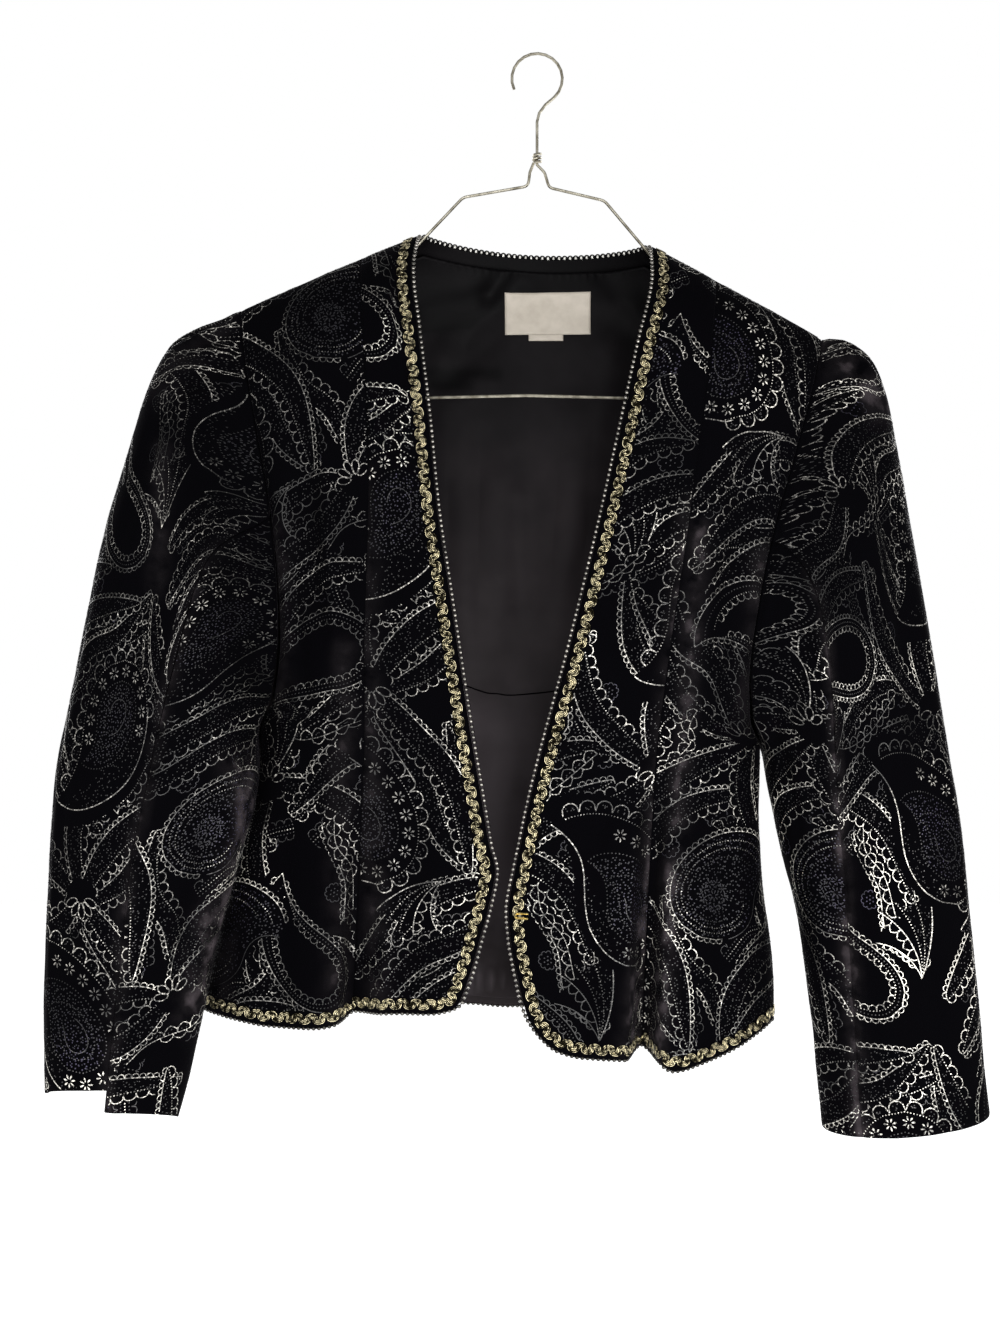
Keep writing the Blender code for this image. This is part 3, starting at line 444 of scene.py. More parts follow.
def row_heights(top, bottom):
    """Heights down the columns: over the shoulder roll, past the armhole, down to the trimmed hem."""
    top, bottom = np.asarray(top, float), np.asarray(bottom, float)
    rolled = [top - SHOULDER_ROLL * (1 - cos(pi / 2 * k / ROLL_ROWS)) for k in range(ROLL_ROWS)]
    upper = [mix(top - SHOULDER_ROLL, UNDERARM, k / UPPER_ROWS) for k in range(UPPER_ROWS)]
    lower = [mix(UNDERARM, bottom + HEM_ROWS[0], k / LOWER_ROWS) for k in range(LOWER_ROWS)]
    return np.array(rolled + upper + lower + [bottom + rise for rise in HEM_ROWS])


def outer_seam_reach(side, height):
    """Reach of the side seam below the underarm and of the armhole above it."""
    return np.where(height > UNDERARM, armhole_reach(height), half_width[side](height))


def spread(first, last, count):
    """Columns of angles evenly between two groups of columns, with both groups kept."""
    between = [mix(first[-1], last[0], (k + 1) / (count + 1)) for k in range(count)]
    return np.stack(first + between + last, axis=1)


def body_grid(face, angles, tops, bottoms, shoulder_columns, seam_columns):
    heights = row_heights(tops, bottoms)
    points = body_points(angles, heights, face)
    points[0, shoulder_columns, 1] = face * SEAM_GAP / 2
    points[UNDERARM_ROW:, seam_columns, 1] = face * SEAM_GAP / 2
    return points


def front_panel(side):
    """Centre front, from the front edge to the princess seam."""
    edge_z = row_heights(shoulder_height(front_edge[side](0)), FRONT_HEM[side][0].height)
    seam_z = row_heights(shoulder_height(princess[side](0)), FRONT_HEM[side][-1].height)
    edge, seam = front_edge[side](edge_z), princess[side](seam_z) - SEAM_GAP / 2
    first = [body_angle(side * (edge + step), edge_z) for step in EDGE_COLUMNS]
    last = [body_angle(side * (seam - step), seam_z) for step in reversed(PLEAT_COLUMNS)]
    angles = spread(first, last, FRONT_SPARE_COLUMNS)
    tops = shoulder_height(body_x(angles[0], edge_z[0]))
    bottoms = front_hem[side](np.abs(body_x(angles[-1], seam_z[-1])))
    points = body_grid(FRONT, angles, tops, bottoms, slice(None), slice(0, 0))
    return sewn_panel(points, TOWARDS[FRONT], UNDERARM_ROW, side, ("last", "top"))


def side_front_panel(side):
    """Side front, from the princess seam to the armhole and side seam."""
    seam_z = row_heights(shoulder_height(princess[side](0)), SIDE_FRONT_HEM[side][0].height)
    outer_z = row_heights(-SHOULDER_DROP, SIDE_HEM[side])
    seam = princess[side](seam_z) + SEAM_GAP / 2
    first = [body_angle(side * (seam + step), seam_z) for step in PLEAT_COLUMNS]
    last = [body_angle(side * outer_seam_reach(side, outer_z), outer_z)]
    angles = spread(first, last, SIDE_SPARE_COLUMNS)
    tops = shoulder_height(body_x(angles[0], -SHOULDER_DROP / 2))
    tops[-1] = -SHOULDER_DROP
    bottoms = side_front_hem[side](np.abs(body_x(angles[-1], seam_z[-1])))
    bottoms[-1] = SIDE_HEM[side]
    points = body_grid(FRONT, angles, tops, bottoms, slice(None), slice(-1, None))
    return sewn_panel(points, TOWARDS[FRONT], UNDERARM_ROW, side, ("first", "last", "top"))


def back_panel():
    """The whole back, from the wearer's right armhole and side seam to the left ones."""
    right_z = row_heights(-SHOULDER_DROP, SIDE_HEM[RIGHT])
    left_z = row_heights(-SHOULDER_DROP, SIDE_HEM[LEFT])
    tips = body_angle(np.array((-SHOULDER_HALF, SHOULDER_HALF)), np.full(2, -SHOULDER_DROP))
    neck_share = (body_angle(np.array(-NECK_HALF), 0.0) - tips[0]) / (tips[1] - tips[0])
    shares = np.concatenate([
        np.linspace(0, neck_share, BACK_SHOULDER_COLUMNS, endpoint=False),
        np.linspace(neck_share, 1 - neck_share, BACK_NECK_COLUMNS, endpoint=False),
        np.linspace(1 - neck_share, 1, BACK_SHOULDER_COLUMNS + 1),
    ])
    start = body_angle(-outer_seam_reach(RIGHT, right_z), right_z)
    end = body_angle(outer_seam_reach(LEFT, left_z), left_z)
    angles = mix(start[:, None], end[:, None], shares)
    x = body_x(angles[0], -SHOULDER_DROP / 2)
    tops = np.where(np.abs(x) < NECK_HALF, neck_height(x), shoulder_height(x))
    tops[[0, -1]] = -SHOULDER_DROP
    tops[[NECK_FIRST, NECK_LAST]] = 0.0
    bottoms = back_hem(body_x(angles[-1], SIDE_HEM[LEFT]))
    bottoms[[0, -1]] = SIDE_HEM[RIGHT], SIDE_HEM[LEFT]
    shoulders = [c for c in range(len(x)) if c <= NECK_FIRST or c >= NECK_LAST]
    points = body_grid(BACK, angles, tops, bottoms, shoulders, [0, -1])
    return sewn_panel(points, TOWARDS[BACK], UNDERARM_ROW, -1, ("first", "last"))


panels = {"back": back_panel()}
for side in (LEFT, RIGHT):
    panels["front_" + SIDE_NAME[side]] = front_panel(side)
    panels["side_front_" + SIDE_NAME[side]] = side_front_panel(side)
for name, panel in panels.items():
    print(name, "grid", panel.points.shape[:2], "cut in mm", np.ptp(panel.flat, axis=(0, 1)).round())

# %% [markdown]
# A set-in sleeve is cut in two halves, an upper and an under sleeve, and hangs as a flattened tube that
# slants down from the armhole. Its table gives the outer and inner outline of a fan of slanted ovals. The
# first ovals are drawn over to the armhole, and a few gathers ease the head in.

# %% Measures of the sleeves
SleeveRow = namedtuple("SleeveRow", "outer_reach outer_height inner_reach inner_height half_depth middle")
SLEEVES = {
    LEFT: (
        SleeveRow(SHOULDER_HALF, -60, 178, UNDERARM, 40, 0),
        SleeveRow(222, -61.5, 179, -355, 42, 0),
        SleeveRow(240, -71.5, 180.5, -360, 45, -1),
        SleeveRow(254.5, -96, 182, -368, 47, -2),
        SleeveRow(266, -143, 184.5, -381, 49, -4),
        SleeveRow(280.5, -208, 188.5, -398, 49, -6),
        SleeveRow(294.5, -272, 193.5, -417, 47, -8),
        SleeveRow(307, -332, 199.5, -438, 44, -10),
        SleeveRow(321.5, -403, 206.5, -462, 41, -12),
        SleeveRow(332, -473, 214.5, -500, 38, -14),
        SleeveRow(343, -551, 224, -556, 35, -16),
        SleeveRow(350.5, -603, 233, -618, 33, -18),
    ),
    RIGHT: (
        SleeveRow(SHOULDER_HALF, -60, 178, UNDERARM, 40, 0),
        SleeveRow(218, -67.5, 179.5, -356, 42, -1),
        SleeveRow(236, -76.5, 179.4, -362, 45, -5),
        SleeveRow(252, -88.5, 178.2, -370, 47, -12),
        SleeveRow(263.5, -110, 176.8, -380, 49, -19),
        SleeveRow(273, -145, 176, -393, 49, -25),
        SleeveRow(283, -188, 177, -409, 48, -29),
        SleeveRow(292.5, -232, 180.5, -427, 46, -32),
        SleeveRow(301.5, -291, 185.5, -447, 44, -34),
        SleeveRow(310, -350, 190, -470, 42, -35),
        SleeveRow(317, -400, 196.5, -498, 40, -35),
        SleeveRow(318, -480, 203, -538, 37, -35),
        SleeveRow(317, -555, 211, -580, 35, -35),
        SleeveRow(313.5, -619, 219.5, -616, 33, -35),
    ),
}
ARMHOLE_FADE = 0.42
SLEEVE_GAP = 0.6
CUFF_DIP = {LEFT: 6.5, RIGHT: -8.5}
UNDER_SLEEVE_DROP = {LEFT: 0.0, RIGHT: 15.0}
CUFF_START = 0.8
SLEEVE_SEAM_HEIGHT = -209.2
SEAM_SWING = {LEFT: radians(35), RIGHT: 0.0}
SleeveFold = namedtuple("SleeveFold", "angle start end width depth")
SLEEVE_FOLDS = {
    LEFT: (
        SleeveFold(48, 0.22, 0.75, 17, 5),
        SleeveFold(128, 0.45, 0.95, 18, 4),
        SleeveFold(-60, 0.25, 0.8, 20, 5),
        SleeveFold(-130, 0.4, 0.9, 20, 4),
        SleeveFold(78, 0.1, 0.6, 9, 2.4),
        SleeveFold(100, 0.15, 1.1, 8, -2.4),
        SleeveFold(26, 0.35, 1.0, 9, -1.8),
        SleeveFold(66, 0.55, 1.1, 9, 2.0),
        SleeveFold(146, 0.2, 0.7, 9, 2.2),
        SleeveFold(-30, 0.2, 0.6, 10, -2.0),
        SleeveFold(-88, 0.4, 1.1, 10, 2.2),
    ),
    RIGHT: (
        SleeveFold(66, 0.2, 0.7, 18, 5),
        SleeveFold(136, 0.5, 0.98, 16, 4),
        SleeveFold(-50, 0.3, 0.85, 20, 5),
        SleeveFold(-122, 0.4, 0.9, 20, 4),
        SleeveFold(40, 0.12, 0.55, 9, 2.2),
        SleeveFold(98, 0.2, 1.1, 9, -2.4),
        SleeveFold(28, 0.5, 1.0, 9, -1.8),
        SleeveFold(84, 0.5, 1.1, 8, 2.0),
        SleeveFold(118, 0.3, 0.8, 8, 2.0),
        SleeveFold(-26, 0.25, 0.7, 10, -2.0),
        SleeveFold(-84, 0.45, 1.1, 10, 2.2),
    ),
}
HEAD_GATHERS = 7
HEAD_GATHER_DEPTH = 1.5
HEAD_GATHER_ANGLE = radians(58)
HEAD_GATHER_END = 0.3
SharePlace = namedtuple("SharePlace", "share value")


def sleeve_reader(rows, name):
    """A smooth line down the sleeve through one column of its table."""
    last = len(rows) - 1
    places = [SharePlace(k / last, getattr(row, name)) for k, row in enumerate(rows)]
    return smooth_column(places, "share", "value")


sleeve_column = {
    side: {name: sleeve_reader(rows, name) for name in SleeveRow._fields} for side, rows in SLEEVES.items()
}
print("sleeve folds:", {SIDE_NAME[side]: len(folds) for side, folds in SLEEVE_FOLDS.items()})

# %% [markdown]
# A sleeve's rows run from the armhole to the cuff and its columns round the tube. Angle 0 is the outer edge
# of the arm and a quarter turn is its front. Folds and gathers move the points along the outward direction,
# so they stay square to the cloth.

# %% The form of the sleeves
SLEEVE_ROWS = 150
UPPER_SLEEVE_COLUMNS = 60
UNDER_SLEEVE_COLUMNS = 48


def oval_points(side, angle, share):
    read = sleeve_column[side]
    outwards = (1 + np.cos(angle)) / 2
    reach = mix(read["inner_reach"](share), read["outer_reach"](share), outwards)
    height = mix(read["inner_height"](share), read["outer_height"](share), outwards)
    y = read["middle"](share) - read["half_depth"](share) * np.sin(angle)
    return np.stack([side * reach, y, height], axis=-1)


def armhole_points(side, angle):
    """Points of the armhole where the sleeve at these angles is sewn on."""
    height = mix(UNDERARM, -SHOULDER_DROP, (1 + np.cos(angle)) / 2)
    round_body = body_angle(side * armhole_reach(height), height)
    at_front = (np.sin(angle) >= 0)[..., None]
    return np.where(at_front, body_points(round_body, height, FRONT), body_points(round_body, height, BACK))


def sleeve_relief(side, angle, share):
    """How far folds and head gathers push the sleeve's face in or out."""
    angle = np.where(angle > pi, angle - 2 * pi, angle)
    relief = np.zeros_like(share)
    for fold in SLEEVE_FOLDS[side]:
        along = np.clip((share - fold.start) / (fold.end - fold.start), 0.0, 1.0)
        off = (angle - radians(fold.angle)) / radians(fold.width)
        relief -= fold.depth * np.sin(pi * along) * np.maximum(1 - off * off, 0.0) ** 2
    wave = np.cos(2 * pi * HEAD_GATHERS * angle / (2 * HEAD_GATHER_ANGLE))
    on_head = (np.abs(angle) < HEAD_GATHER_ANGLE) & (share < HEAD_GATHER_END)
    return relief + np.where(on_head, HEAD_GATHER_DEPTH * wave * np.sin(pi * share / HEAD_GATHER_END), 0.0)


def swung(side, angle, share):
    """Angles of the sleeve's columns, which follow the seam as it turns towards the cuff."""
    swing = SEAM_SWING[side] * ease(share)
    upper = angle * (seam_angle + swing) / seam_angle
    under = pi + (angle - pi) * (pi - seam_angle - swing) / (pi - seam_angle)
    return np.where(np.abs(angle) <= seam_angle, upper, under)


def sleeve_panel(side, start, end, columns, drop):
    """One half of a sleeve between two angles."""
    angle, share = np.meshgrid(np.linspace(start, end, columns + 1), np.linspace(0, 1, SLEEVE_ROWS + 1))
    angle = swung(side, angle, share)
    points = oval_points(side, angle, share)
    fade = 1 - ease(share / ARMHOLE_FADE)
    points += fade[..., None] * (armhole_points(side, angle) - oval_points(side, angle, np.zeros_like(share)))
    cuff = ease((share - CUFF_START) / (1 - CUFF_START))
    points[..., 2] -= CUFF_DIP[side] * np.maximum(np.sin(angle), 0.0) * cuff
    middle = (oval_points(side, angle * 0, share) + oval_points(side, angle * 0 + pi, share)) / 2
    outward = points - middle
    points += grid_normals(points, outward) * sleeve_relief(side, angle, share)[..., None]
    points[..., 0] += side * SLEEVE_GAP * fade
    points[..., 2] -= drop * cuff
    return sewn_panel(points, outward, -1, -side, ("first", "last", "top"))


middle_height = (UNDERARM - SHOULDER_DROP) / 2
seam_angle = acos((SLEEVE_SEAM_HEIGHT - middle_height) / (-SHOULDER_DROP - middle_height))
for side in (LEFT, RIGHT):
    half_gap = SEAM_GAP / 2 / SLEEVES[side][-1].half_depth
    seam = seam_angle - half_gap
    panels["sleeve_upper_" + SIDE_NAME[side]] = sleeve_panel(side, -seam, seam, UPPER_SLEEVE_COLUMNS, 0.0)
    seam = seam_angle + half_gap
    panels["sleeve_under_" + SIDE_NAME[side]] = sleeve_panel(
        side, seam, 2 * pi - seam, UNDER_SLEEVE_COLUMNS, UNDER_SLEEVE_DROP[side])
for name in sorted(n for n in panels if n.startswith("sleeve")):
    print(name, "grid", panels[name].points.shape[:2], "cut in mm", np.ptp(panels[name].flat, axis=(0, 1)).round())

# %% [markdown]
# Velvet is black because its upright pile swallows light. It turns grey along edges, where the pile is seen
# from the side, and where it has been crushed. The finish is a very dark, rough base with a soft sheen, and
# an attribute lightens the ridges: partly real crushed wear and partly a painted sheen. Satin is smoother; its
# colour is painted lighter towards the waist, a painted pool of the light that falls into the opening.

# %% Finishes of the cloth
# Heights between which the satin's colour is painted lighter: painted light.
SATIN_LIGHT_TOP = -0.16
SATIN_LIGHT_FOOT = -0.70


def new_finish(name, colour, roughness, metallic=0.0):
    material = bpy.data.materials.new(name)
    material.use_nodes = True
    shader = material.node_tree.nodes["Principled BSDF"]
    shader.inputs["Base Color"].default_value = (*colour, 1.0)
    shader.inputs["Roughness"].default_value = roughness
    shader.inputs["Metallic"].default_value = metallic
    return material, material.node_tree, shader


def object_noise(tree, scale, detail=2.0):
    place = tree.nodes.new("ShaderNodeTexCoord")
    texture = tree.nodes.new("ShaderNodeTexNoise")
    texture.inputs["Scale"].default_value = scale
    texture.inputs["Detail"].default_value = detail
    tree.links.new(place.outputs["Object"], texture.inputs["Vector"])
    return texture.outputs["Fac"]


def colour_ramp(tree, source, *stops):
    ramp = tree.nodes.new("ShaderNodeValToRGB")
    elements = ramp.color_ramp.elements
    while len(elements) < len(stops):
        elements.new(0.5)
    for element, (place, colour) in zip(elements, stops):
        element.position = place
        element.color = (*colour, 1.0)
    tree.links.new(source, ramp.inputs["Fac"])
    return ramp.outputs["Color"]


def paint(tree, shader, source, *stops):
    """Colours a finish by a ramp over the values of the source."""
    tree.links.new(colour_ramp(tree, source, *stops), shader.inputs["Base Color"])


def attribute(tree, name):
    node = tree.nodes.new("ShaderNodeAttribute")
    node.attribute_name = name
    return node.outputs["Fac"]


def combine(tree, operation, first, second):
    node = tree.nodes.new("ShaderNodeMath")
    node.operation = operation
    tree.links.new(first, node.inputs[0])
    tree.links.new(second, node.inputs[1])
    return node.outputs[0]


def add_bump(tree, shader, height, strength, distance):
    node = tree.nodes.new("ShaderNodeBump")
    node.inputs["Strength"].default_value = strength
    node.inputs["Distance"].default_value = distance
    tree.links.new(height, node.inputs["Height"])
    tree.links.new(node.outputs["Normal"], shader.inputs["Normal"])


def velvet_finish():
    material, tree, shader = new_finish("velvet_pile", (0.001, 0.001, 0.0014), 0.9)
    shader.inputs["Specular IOR Level"].default_value = 0.015
    shader.inputs["Sheen Weight"].default_value = 0.02
    shader.inputs["Sheen Roughness"].default_value = 0.35
    shader.inputs["Sheen Tint"].default_value = (0.62, 0.56, 0.66, 1.0)
    patchy = colour_ramp(tree, object_noise(tree, 60.0, 4.0), (0.32, (0.0,) * 3), (0.68, (1.0,) * 3))
    # The pile is lightened along seams and ridges: partly real crushed wear, partly a painted sheen where the nap
    # catches the light.
    worn_and_sheen = combine(tree, "MULTIPLY", attribute(tree, "crush_and_sheen"), patchy)
    paint(tree, shader, worn_and_sheen, (0.0, (0.0010, 0.0009, 0.0014)), (0.35, (0.006, 0.0052, 0.006)),
          (1.0, (0.060, 0.050, 0.055)))
    add_bump(tree, shader, object_noise(tree, 1400.0), 0.35, 0.0006)
    return material


def height_share(tree, top, foot):
    """Share of the way down from one height of the piece to a lower one."""
    place = tree.nodes.new("ShaderNodeTexCoord")
    split = tree.nodes.new("ShaderNodeSeparateXYZ")
    share = tree.nodes.new("ShaderNodeMapRange")
    share.inputs["From Min"].default_value = top
    share.inputs["From Max"].default_value = foot
    tree.links.new(place.outputs["Object"], split.inputs["Vector"])
    tree.links.new(split.outputs["Z"], share.inputs["Value"])
    return share.outputs["Result"]


def satin_finish():
    material, tree, shader = new_finish("lining_satin", (0.011, 0.0105, 0.012), 0.5)
    shader.inputs["Specular IOR Level"].default_value = 0.04
    satin_tone_light_and_shade = colour_ramp(tree, object_noise(tree, 22.0, 3.0), (0.3, (0.0,) * 3), (0.7, (0.14,) * 3))
    # Painted light: lighter down towards the waist, where more light falls into the opening, and darker again at
    # the hem; the shade attribute takes off painted shade.
    satin_tone_light_and_shade = combine(tree, "ADD", height_share(tree, SATIN_LIGHT_TOP, SATIN_LIGHT_FOOT), satin_tone_light_and_shade)
    satin_tone_light_and_shade = combine(tree, "SUBTRACT", satin_tone_light_and_shade, attribute(tree, "shade"))
    paint(
        tree, shader, satin_tone_light_and_shade,
        (0.05, (0.0013, 0.0011, 0.0014)), (0.25, (0.0082, 0.0071, 0.0080)), (0.45, (0.0190, 0.0160, 0.0174)),
        (0.60, (0.034, 0.029, 0.031)), (0.76, (0.066, 0.056, 0.061)), (0.86, (0.060, 0.050, 0.055)),
        (0.95, (0.026, 0.022, 0.024)), (1.0, (0.016, 0.013, 0.014)),
    )
    add_bump(tree, shader, object_noise(tree, 2200.0), 0.08, 0.0003)
    return material


velvet = velvet_finish()
satin = satin_finish()
print("cloth finishes:", velvet.name, satin.name)

# %% [markdown]
# Velvet is crushed where it rubs, most of all along the sleeve seams, the princess seams and the sleeve heads,
# and the lighter marks there are partly that real wear and partly a painted sheen where the nap catches the light.
# Such marks could be painted on the mesh by hand. Here each is a line with a width and a strength in a table,
# so it can be moved without painting again.

# %% Crushed pile and painted sheen
SLEEVE_CRUSH_AND_SHEEN = {
    "sleeve_upper_left": 0.9, "sleeve_under_left": 0.9,
    "sleeve_upper_right": 0.5, "sleeve_under_right": 0.6,
}
CrushAndSheenLine = namedtuple("CrushAndSheenLine", "panel x0 z0 x1 z1 width strength")
CRUSH_AND_SHEEN_LINES = (
    CrushAndSheenLine("front_left", 118, -190, 94, -565, 8, 0.9),
    CrushAndSheenLine("side_front_left", 124, -200, 112, -570, 7, 0.8),
    CrushAndSheenLine("front_right", -112, -180, -84, -540, 9, 0.45),
    CrushAndSheenLine("side_front_right", -118, -300, -112, -550, 8, 0.5),
    CrushAndSheenLine("side_front_right", -196, -430, -206, -550, 14, 0.5),
    CrushAndSheenLine("sleeve_upper_left", 214, -68, 250, -110, 15, 0.7),
    CrushAndSheenLine("sleeve_upper_right", -226, -70, -262, -118, 16, 0.35),
    CrushAndSheenLine("sleeve_upper_right", -251, -170, -246, -261, 7, 0.5),
    CrushAndSheenLine("sleeve_under_right", -188, -381, -177, -428, 9, 0.9),
    CrushAndSheenLine("sleeve_under_right", -177, -428, -201, -498, 9, 0.9),
    CrushAndSheenLine("sleeve_under_right", -201, -498, -213, -560, 10, 0.8),
    CrushAndSheenLine("side_front_left", 170, -220, 166, -330, 9, 0.5),
    CrushAndSheenLine("side_front_right", -170, -220, -166, -330, 9, 0.5),
)
SEAM_CRUSH_AND_SHEEN_WIDTH = 6.0
SEAM_CRUSH_AND_SHEEN_START = 0.12
SEAM_CRUSH_AND_SHEEN_RISE = 0.25


def near_line(x, z, row):
    """How near points lie to a listed line, from 0 far away to 1 on it."""
    along = np.array((row.x1 - row.x0, row.z1 - row.z0), float)
    share = np.clip(((x - row.x0) * along[0] + (z - row.z0) * along[1]) / (along @ along), 0.0, 1.0)
    off = np.hypot(x - row.x0 - share * along[0], z - row.z0 - share * along[1])
    return np.exp(-(off / row.width) ** 2)


def crush_and_sheen_of(name, panel):
    """How much each point of a panel is lightened, from 0 to 1: partly crushed pile, partly painted sheen."""
    x, z = panel.points[..., 0], panel.points[..., 2]
    total = np.zeros(x.shape)
    if name in SLEEVE_CRUSH_AND_SHEEN:
        s = panel.flat[..., 0]
        off = np.minimum(np.abs(s - s[:, :1]), np.abs(s - s[:, -1:]))
        grown = ease((np.linspace(0, 1, len(s)) - SEAM_CRUSH_AND_SHEEN_START) / SEAM_CRUSH_AND_SHEEN_RISE)
        total += SLEEVE_CRUSH_AND_SHEEN[name] * np.exp(-(off / SEAM_CRUSH_AND_SHEEN_WIDTH) ** 2) * grown[:, None]
    for row in CRUSH_AND_SHEEN_LINES:
        if row.panel == name:
            total += row.strength * near_line(x, z, row)
    return np.clip(total, 0.0, 1.0)


print("crushed lines:", len(CRUSH_AND_SHEEN_LINES), "and the seams of", len(SLEEVE_CRUSH_AND_SHEEN), "sleeve halves")

# %% [markdown]
# Each sheet of velvet starts as a flat grid, as cloth does on the cutting table, and its points are moved to
# the panel's place on the form. A solidify modifier gives it its two millimetres, with velvet outside and
# satin inside. Side fronts and under sleeves lap a little under the next panel, so that no light falls through
# the seams: a quarter turn brings the edge to the top of the grid, and one more row is turned in there.

# %% Velvet panels
ALLOWANCE = 4.0
ALLOWANCE_DEPTH = 2.6
LAP = 1.6
LAP_DEPTH = 0.9
FIRST, LAST = -1, 1
LAPPED_EDGES = {
    "side_front_left": (FIRST,), "side_front_right": (FIRST,),
    "sleeve_under_left": (FIRST, LAST), "sleeve_under_right": (FIRST, LAST),
}


def link(name, mesh, slot, *nodes):
    """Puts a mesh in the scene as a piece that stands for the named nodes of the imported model."""
    piece = bpy.data.objects.new(name, mesh)
    bpy.context.collection.objects.link(piece)
    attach(piece, "root")
    if nodes:
        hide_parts(*nodes)
    return piece


def grid_mesh(name, points, outward):
    """A grid moved to its place on the form, with its faces turned outwards."""
    rows, columns = points.shape[:2]
    form = bmesh.new()
    bmesh.ops.create_grid(form, x_segments=columns - 1, y_segments=rows - 1, size=1.0)
    mesh = bpy.data.meshes.new(name)
    form.to_mesh(mesh)
    form.free()
    mesh.vertices.foreach_set("co", world(points).ravel())
    mesh.update()
    middle = mesh.polygons[rows // 2 * (columns - 1) + columns // 2]
    if middle.normal.dot(Vector((TURN @ outward[rows // 2, columns // 2]).tolist())) < 0:
        mesh.flip_normals()
    mesh.shade_smooth()
    return mesh


def add_wall(piece, thickness):
    wall = piece.modifiers.new("wall", "SOLIDIFY")
    wall.thickness = thickness * MM
    wall.offset = -1.0
    wall.use_quality_normals = True
    wall.material_offset = len(piece.data.materials) - 1


def flat_area(panel):
    """Area of the cut cloth, in square metres."""
    a, b = panel.flat[:-1, :-1], panel.flat[1:, 1:]
    c, d = panel.flat[:-1, 1:], panel.flat[1:, :-1]
    return float(np.abs(np.cross(b - a, d - c)).sum()) / 2 * MM * MM


def turned_in(points, normals, lightened, reach, depth):
    """A panel's grids with one more row before the first, turned in as a seam allowance."""
    row = points[0] + unit(points[0] - points[1]) * reach - normals[0] * depth
    return np.concatenate([row[None], points]), *(np.concatenate([grid[:1], grid]) for grid in (normals, lightened))


def cut_cloth(name, panel):
    """A panel's points, outward directions and lightening by crush and painted sheen, with the allowances that lie
    under its neighbours.
    """
    grids = panel.points, panel.normals, crush_and_sheen_of(name, panel)
    if name in SLEEVE_CRUSH_AND_SHEEN:
        grids = turned_in(*grids, ALLOWANCE, ALLOWANCE_DEPTH)
    for quarter_turn in LAPPED_EDGES.get(name, ()):
        grids = turned_in(*(np.rot90(grid, quarter_turn) for grid in grids), LAP, LAP_DEPTH)
        grids = [np.rot90(grid, -quarter_turn) for grid in grids]
    return grids


def store(mesh, name, values):
    """Keeps one value for each point of a mesh, which its finish reads."""
    mesh.attributes.new(name, "FLOAT", "POINT").data.foreach_set("value", values.ravel())


cloth = {}
for name, panel in panels.items():
    points, normals, lightened = cut_cloth(name, panel)
    mesh = grid_mesh(name + "_velvet", points, normals)
    mesh.materials.append(velvet)
    mesh.materials.append(satin)
    store(mesh, "crush_and_sheen", lightened)
    cloth[name] = link(name + "_velvet", mesh, "velvet", name)
    add_wall(cloth[name], VELVET_WALL)
    print(name, "faces", len(mesh.polygons), "cut area m2", round(flat_area(panel), 4))

# %% [markdown]
# The back is lined with dark satin, which shows through the open front. The lining hangs looser than the
# velvet, so it has soft folds of its own and small puckers where it is sewn under the neck and at the hem.
# An attribute called shade paints shade into the hollows of its puckers and sharpest creases, and a few painted
# shadows near the top.

# %% Lining of the back
LINING_DEPTH = 3.4
LINING_WALL = 1.0
LINING_INSET = 5
LINING_HEM_ROWS = 3
LINING_HOLLOW = 1.6
Pucker = namedtuple("Pucker", "pitch height reach")
NECK_PUCKER = Pucker(6.0, 0.7, 16.0)
HEM_PUCKER = Pucker(8.0, 1.0, 22.0)
LiningFold = namedtuple("LiningFold", "x0 z0 x1 z1 width height")
LINING_FOLDS = (
    LiningFold(-18, -10, -32, -34, 7, 3.0),
    LiningFold(-32, -34, -78, -48, 9, 1.6),
    LiningFold(-6, -30, -60, -98, 12, -2.5),
    LiningFold(52, -14, 84, -48, 10, 3.0),
    LiningFold(-60, -90, -52, -260, 16, 3.0),
    LiningFold(-20, -170, -34, -300, 14, 2.5),
    LiningFold(-4, -180, 2, -262, 9, 2.2),
    LiningFold(28, -120, 30, -300, 15, 2.5),
    LiningFold(58, -70, 44, -210, 14, 3.0),
    LiningFold(-10, -330, -16, -540, 14, 2.5),
    LiningFold(16, -340, 12, -470, 10, 1.8),
)
# Painted shade: dark lines in the hollows of the sharpest creases, and a few painted shadows near the top.
LiningShade = namedtuple("LiningShade", "x0 z0 x1 z1 width strength")
LINING_SHADES = (
    LiningShade(-15, -18, -25, -38, 3.2, 0.14),
    LiningShade(-25, -38, -46, -54, 3.8, 0.16),
    LiningShade(-46, -54, -78, -60, 4.2, 0.13),
    LiningShade(-40, -34, -80, -46, 11, 0.07),
    LiningShade(-74, -93, -24, -92, 5.5, 0.16),
    LiningShade(-70, -101, -44, -101, 5.5, 0.15),
    LiningShade(66, -18, 84, -38, 9, 0.05),
)
# Painted shade in the hollows of the puckers.
PUCKER_SHADE = 0.10


def lining_swell(points, depth_from_top, height_from_hem):
    """How far the lining stands off the velvet, in millimetres, and how much painted shade darkens its hollows."""
    x, z = points[..., 0], points[..., 2]
    swell = np.zeros(x.shape)
    for fold in LINING_FOLDS:
        swell += fold.height * near_line(x, z, fold)
    puckers = np.zeros(x.shape)
    for row, off in ((NECK_PUCKER, depth_from_top), (HEM_PUCKER, height_from_hem)):
        puckers += row.height * np.cos(2 * pi * x / row.pitch) * np.sin(pi * np.clip(off / row.reach, 0, 1))
    shade = PUCKER_SHADE * np.maximum(-puckers, 0.0)
    for row in LINING_SHADES:
        shade += row.strength * near_line(x, z, row)
    return np.maximum(swell + puckers, -LINING_HOLLOW) + LINING_HOLLOW, shade


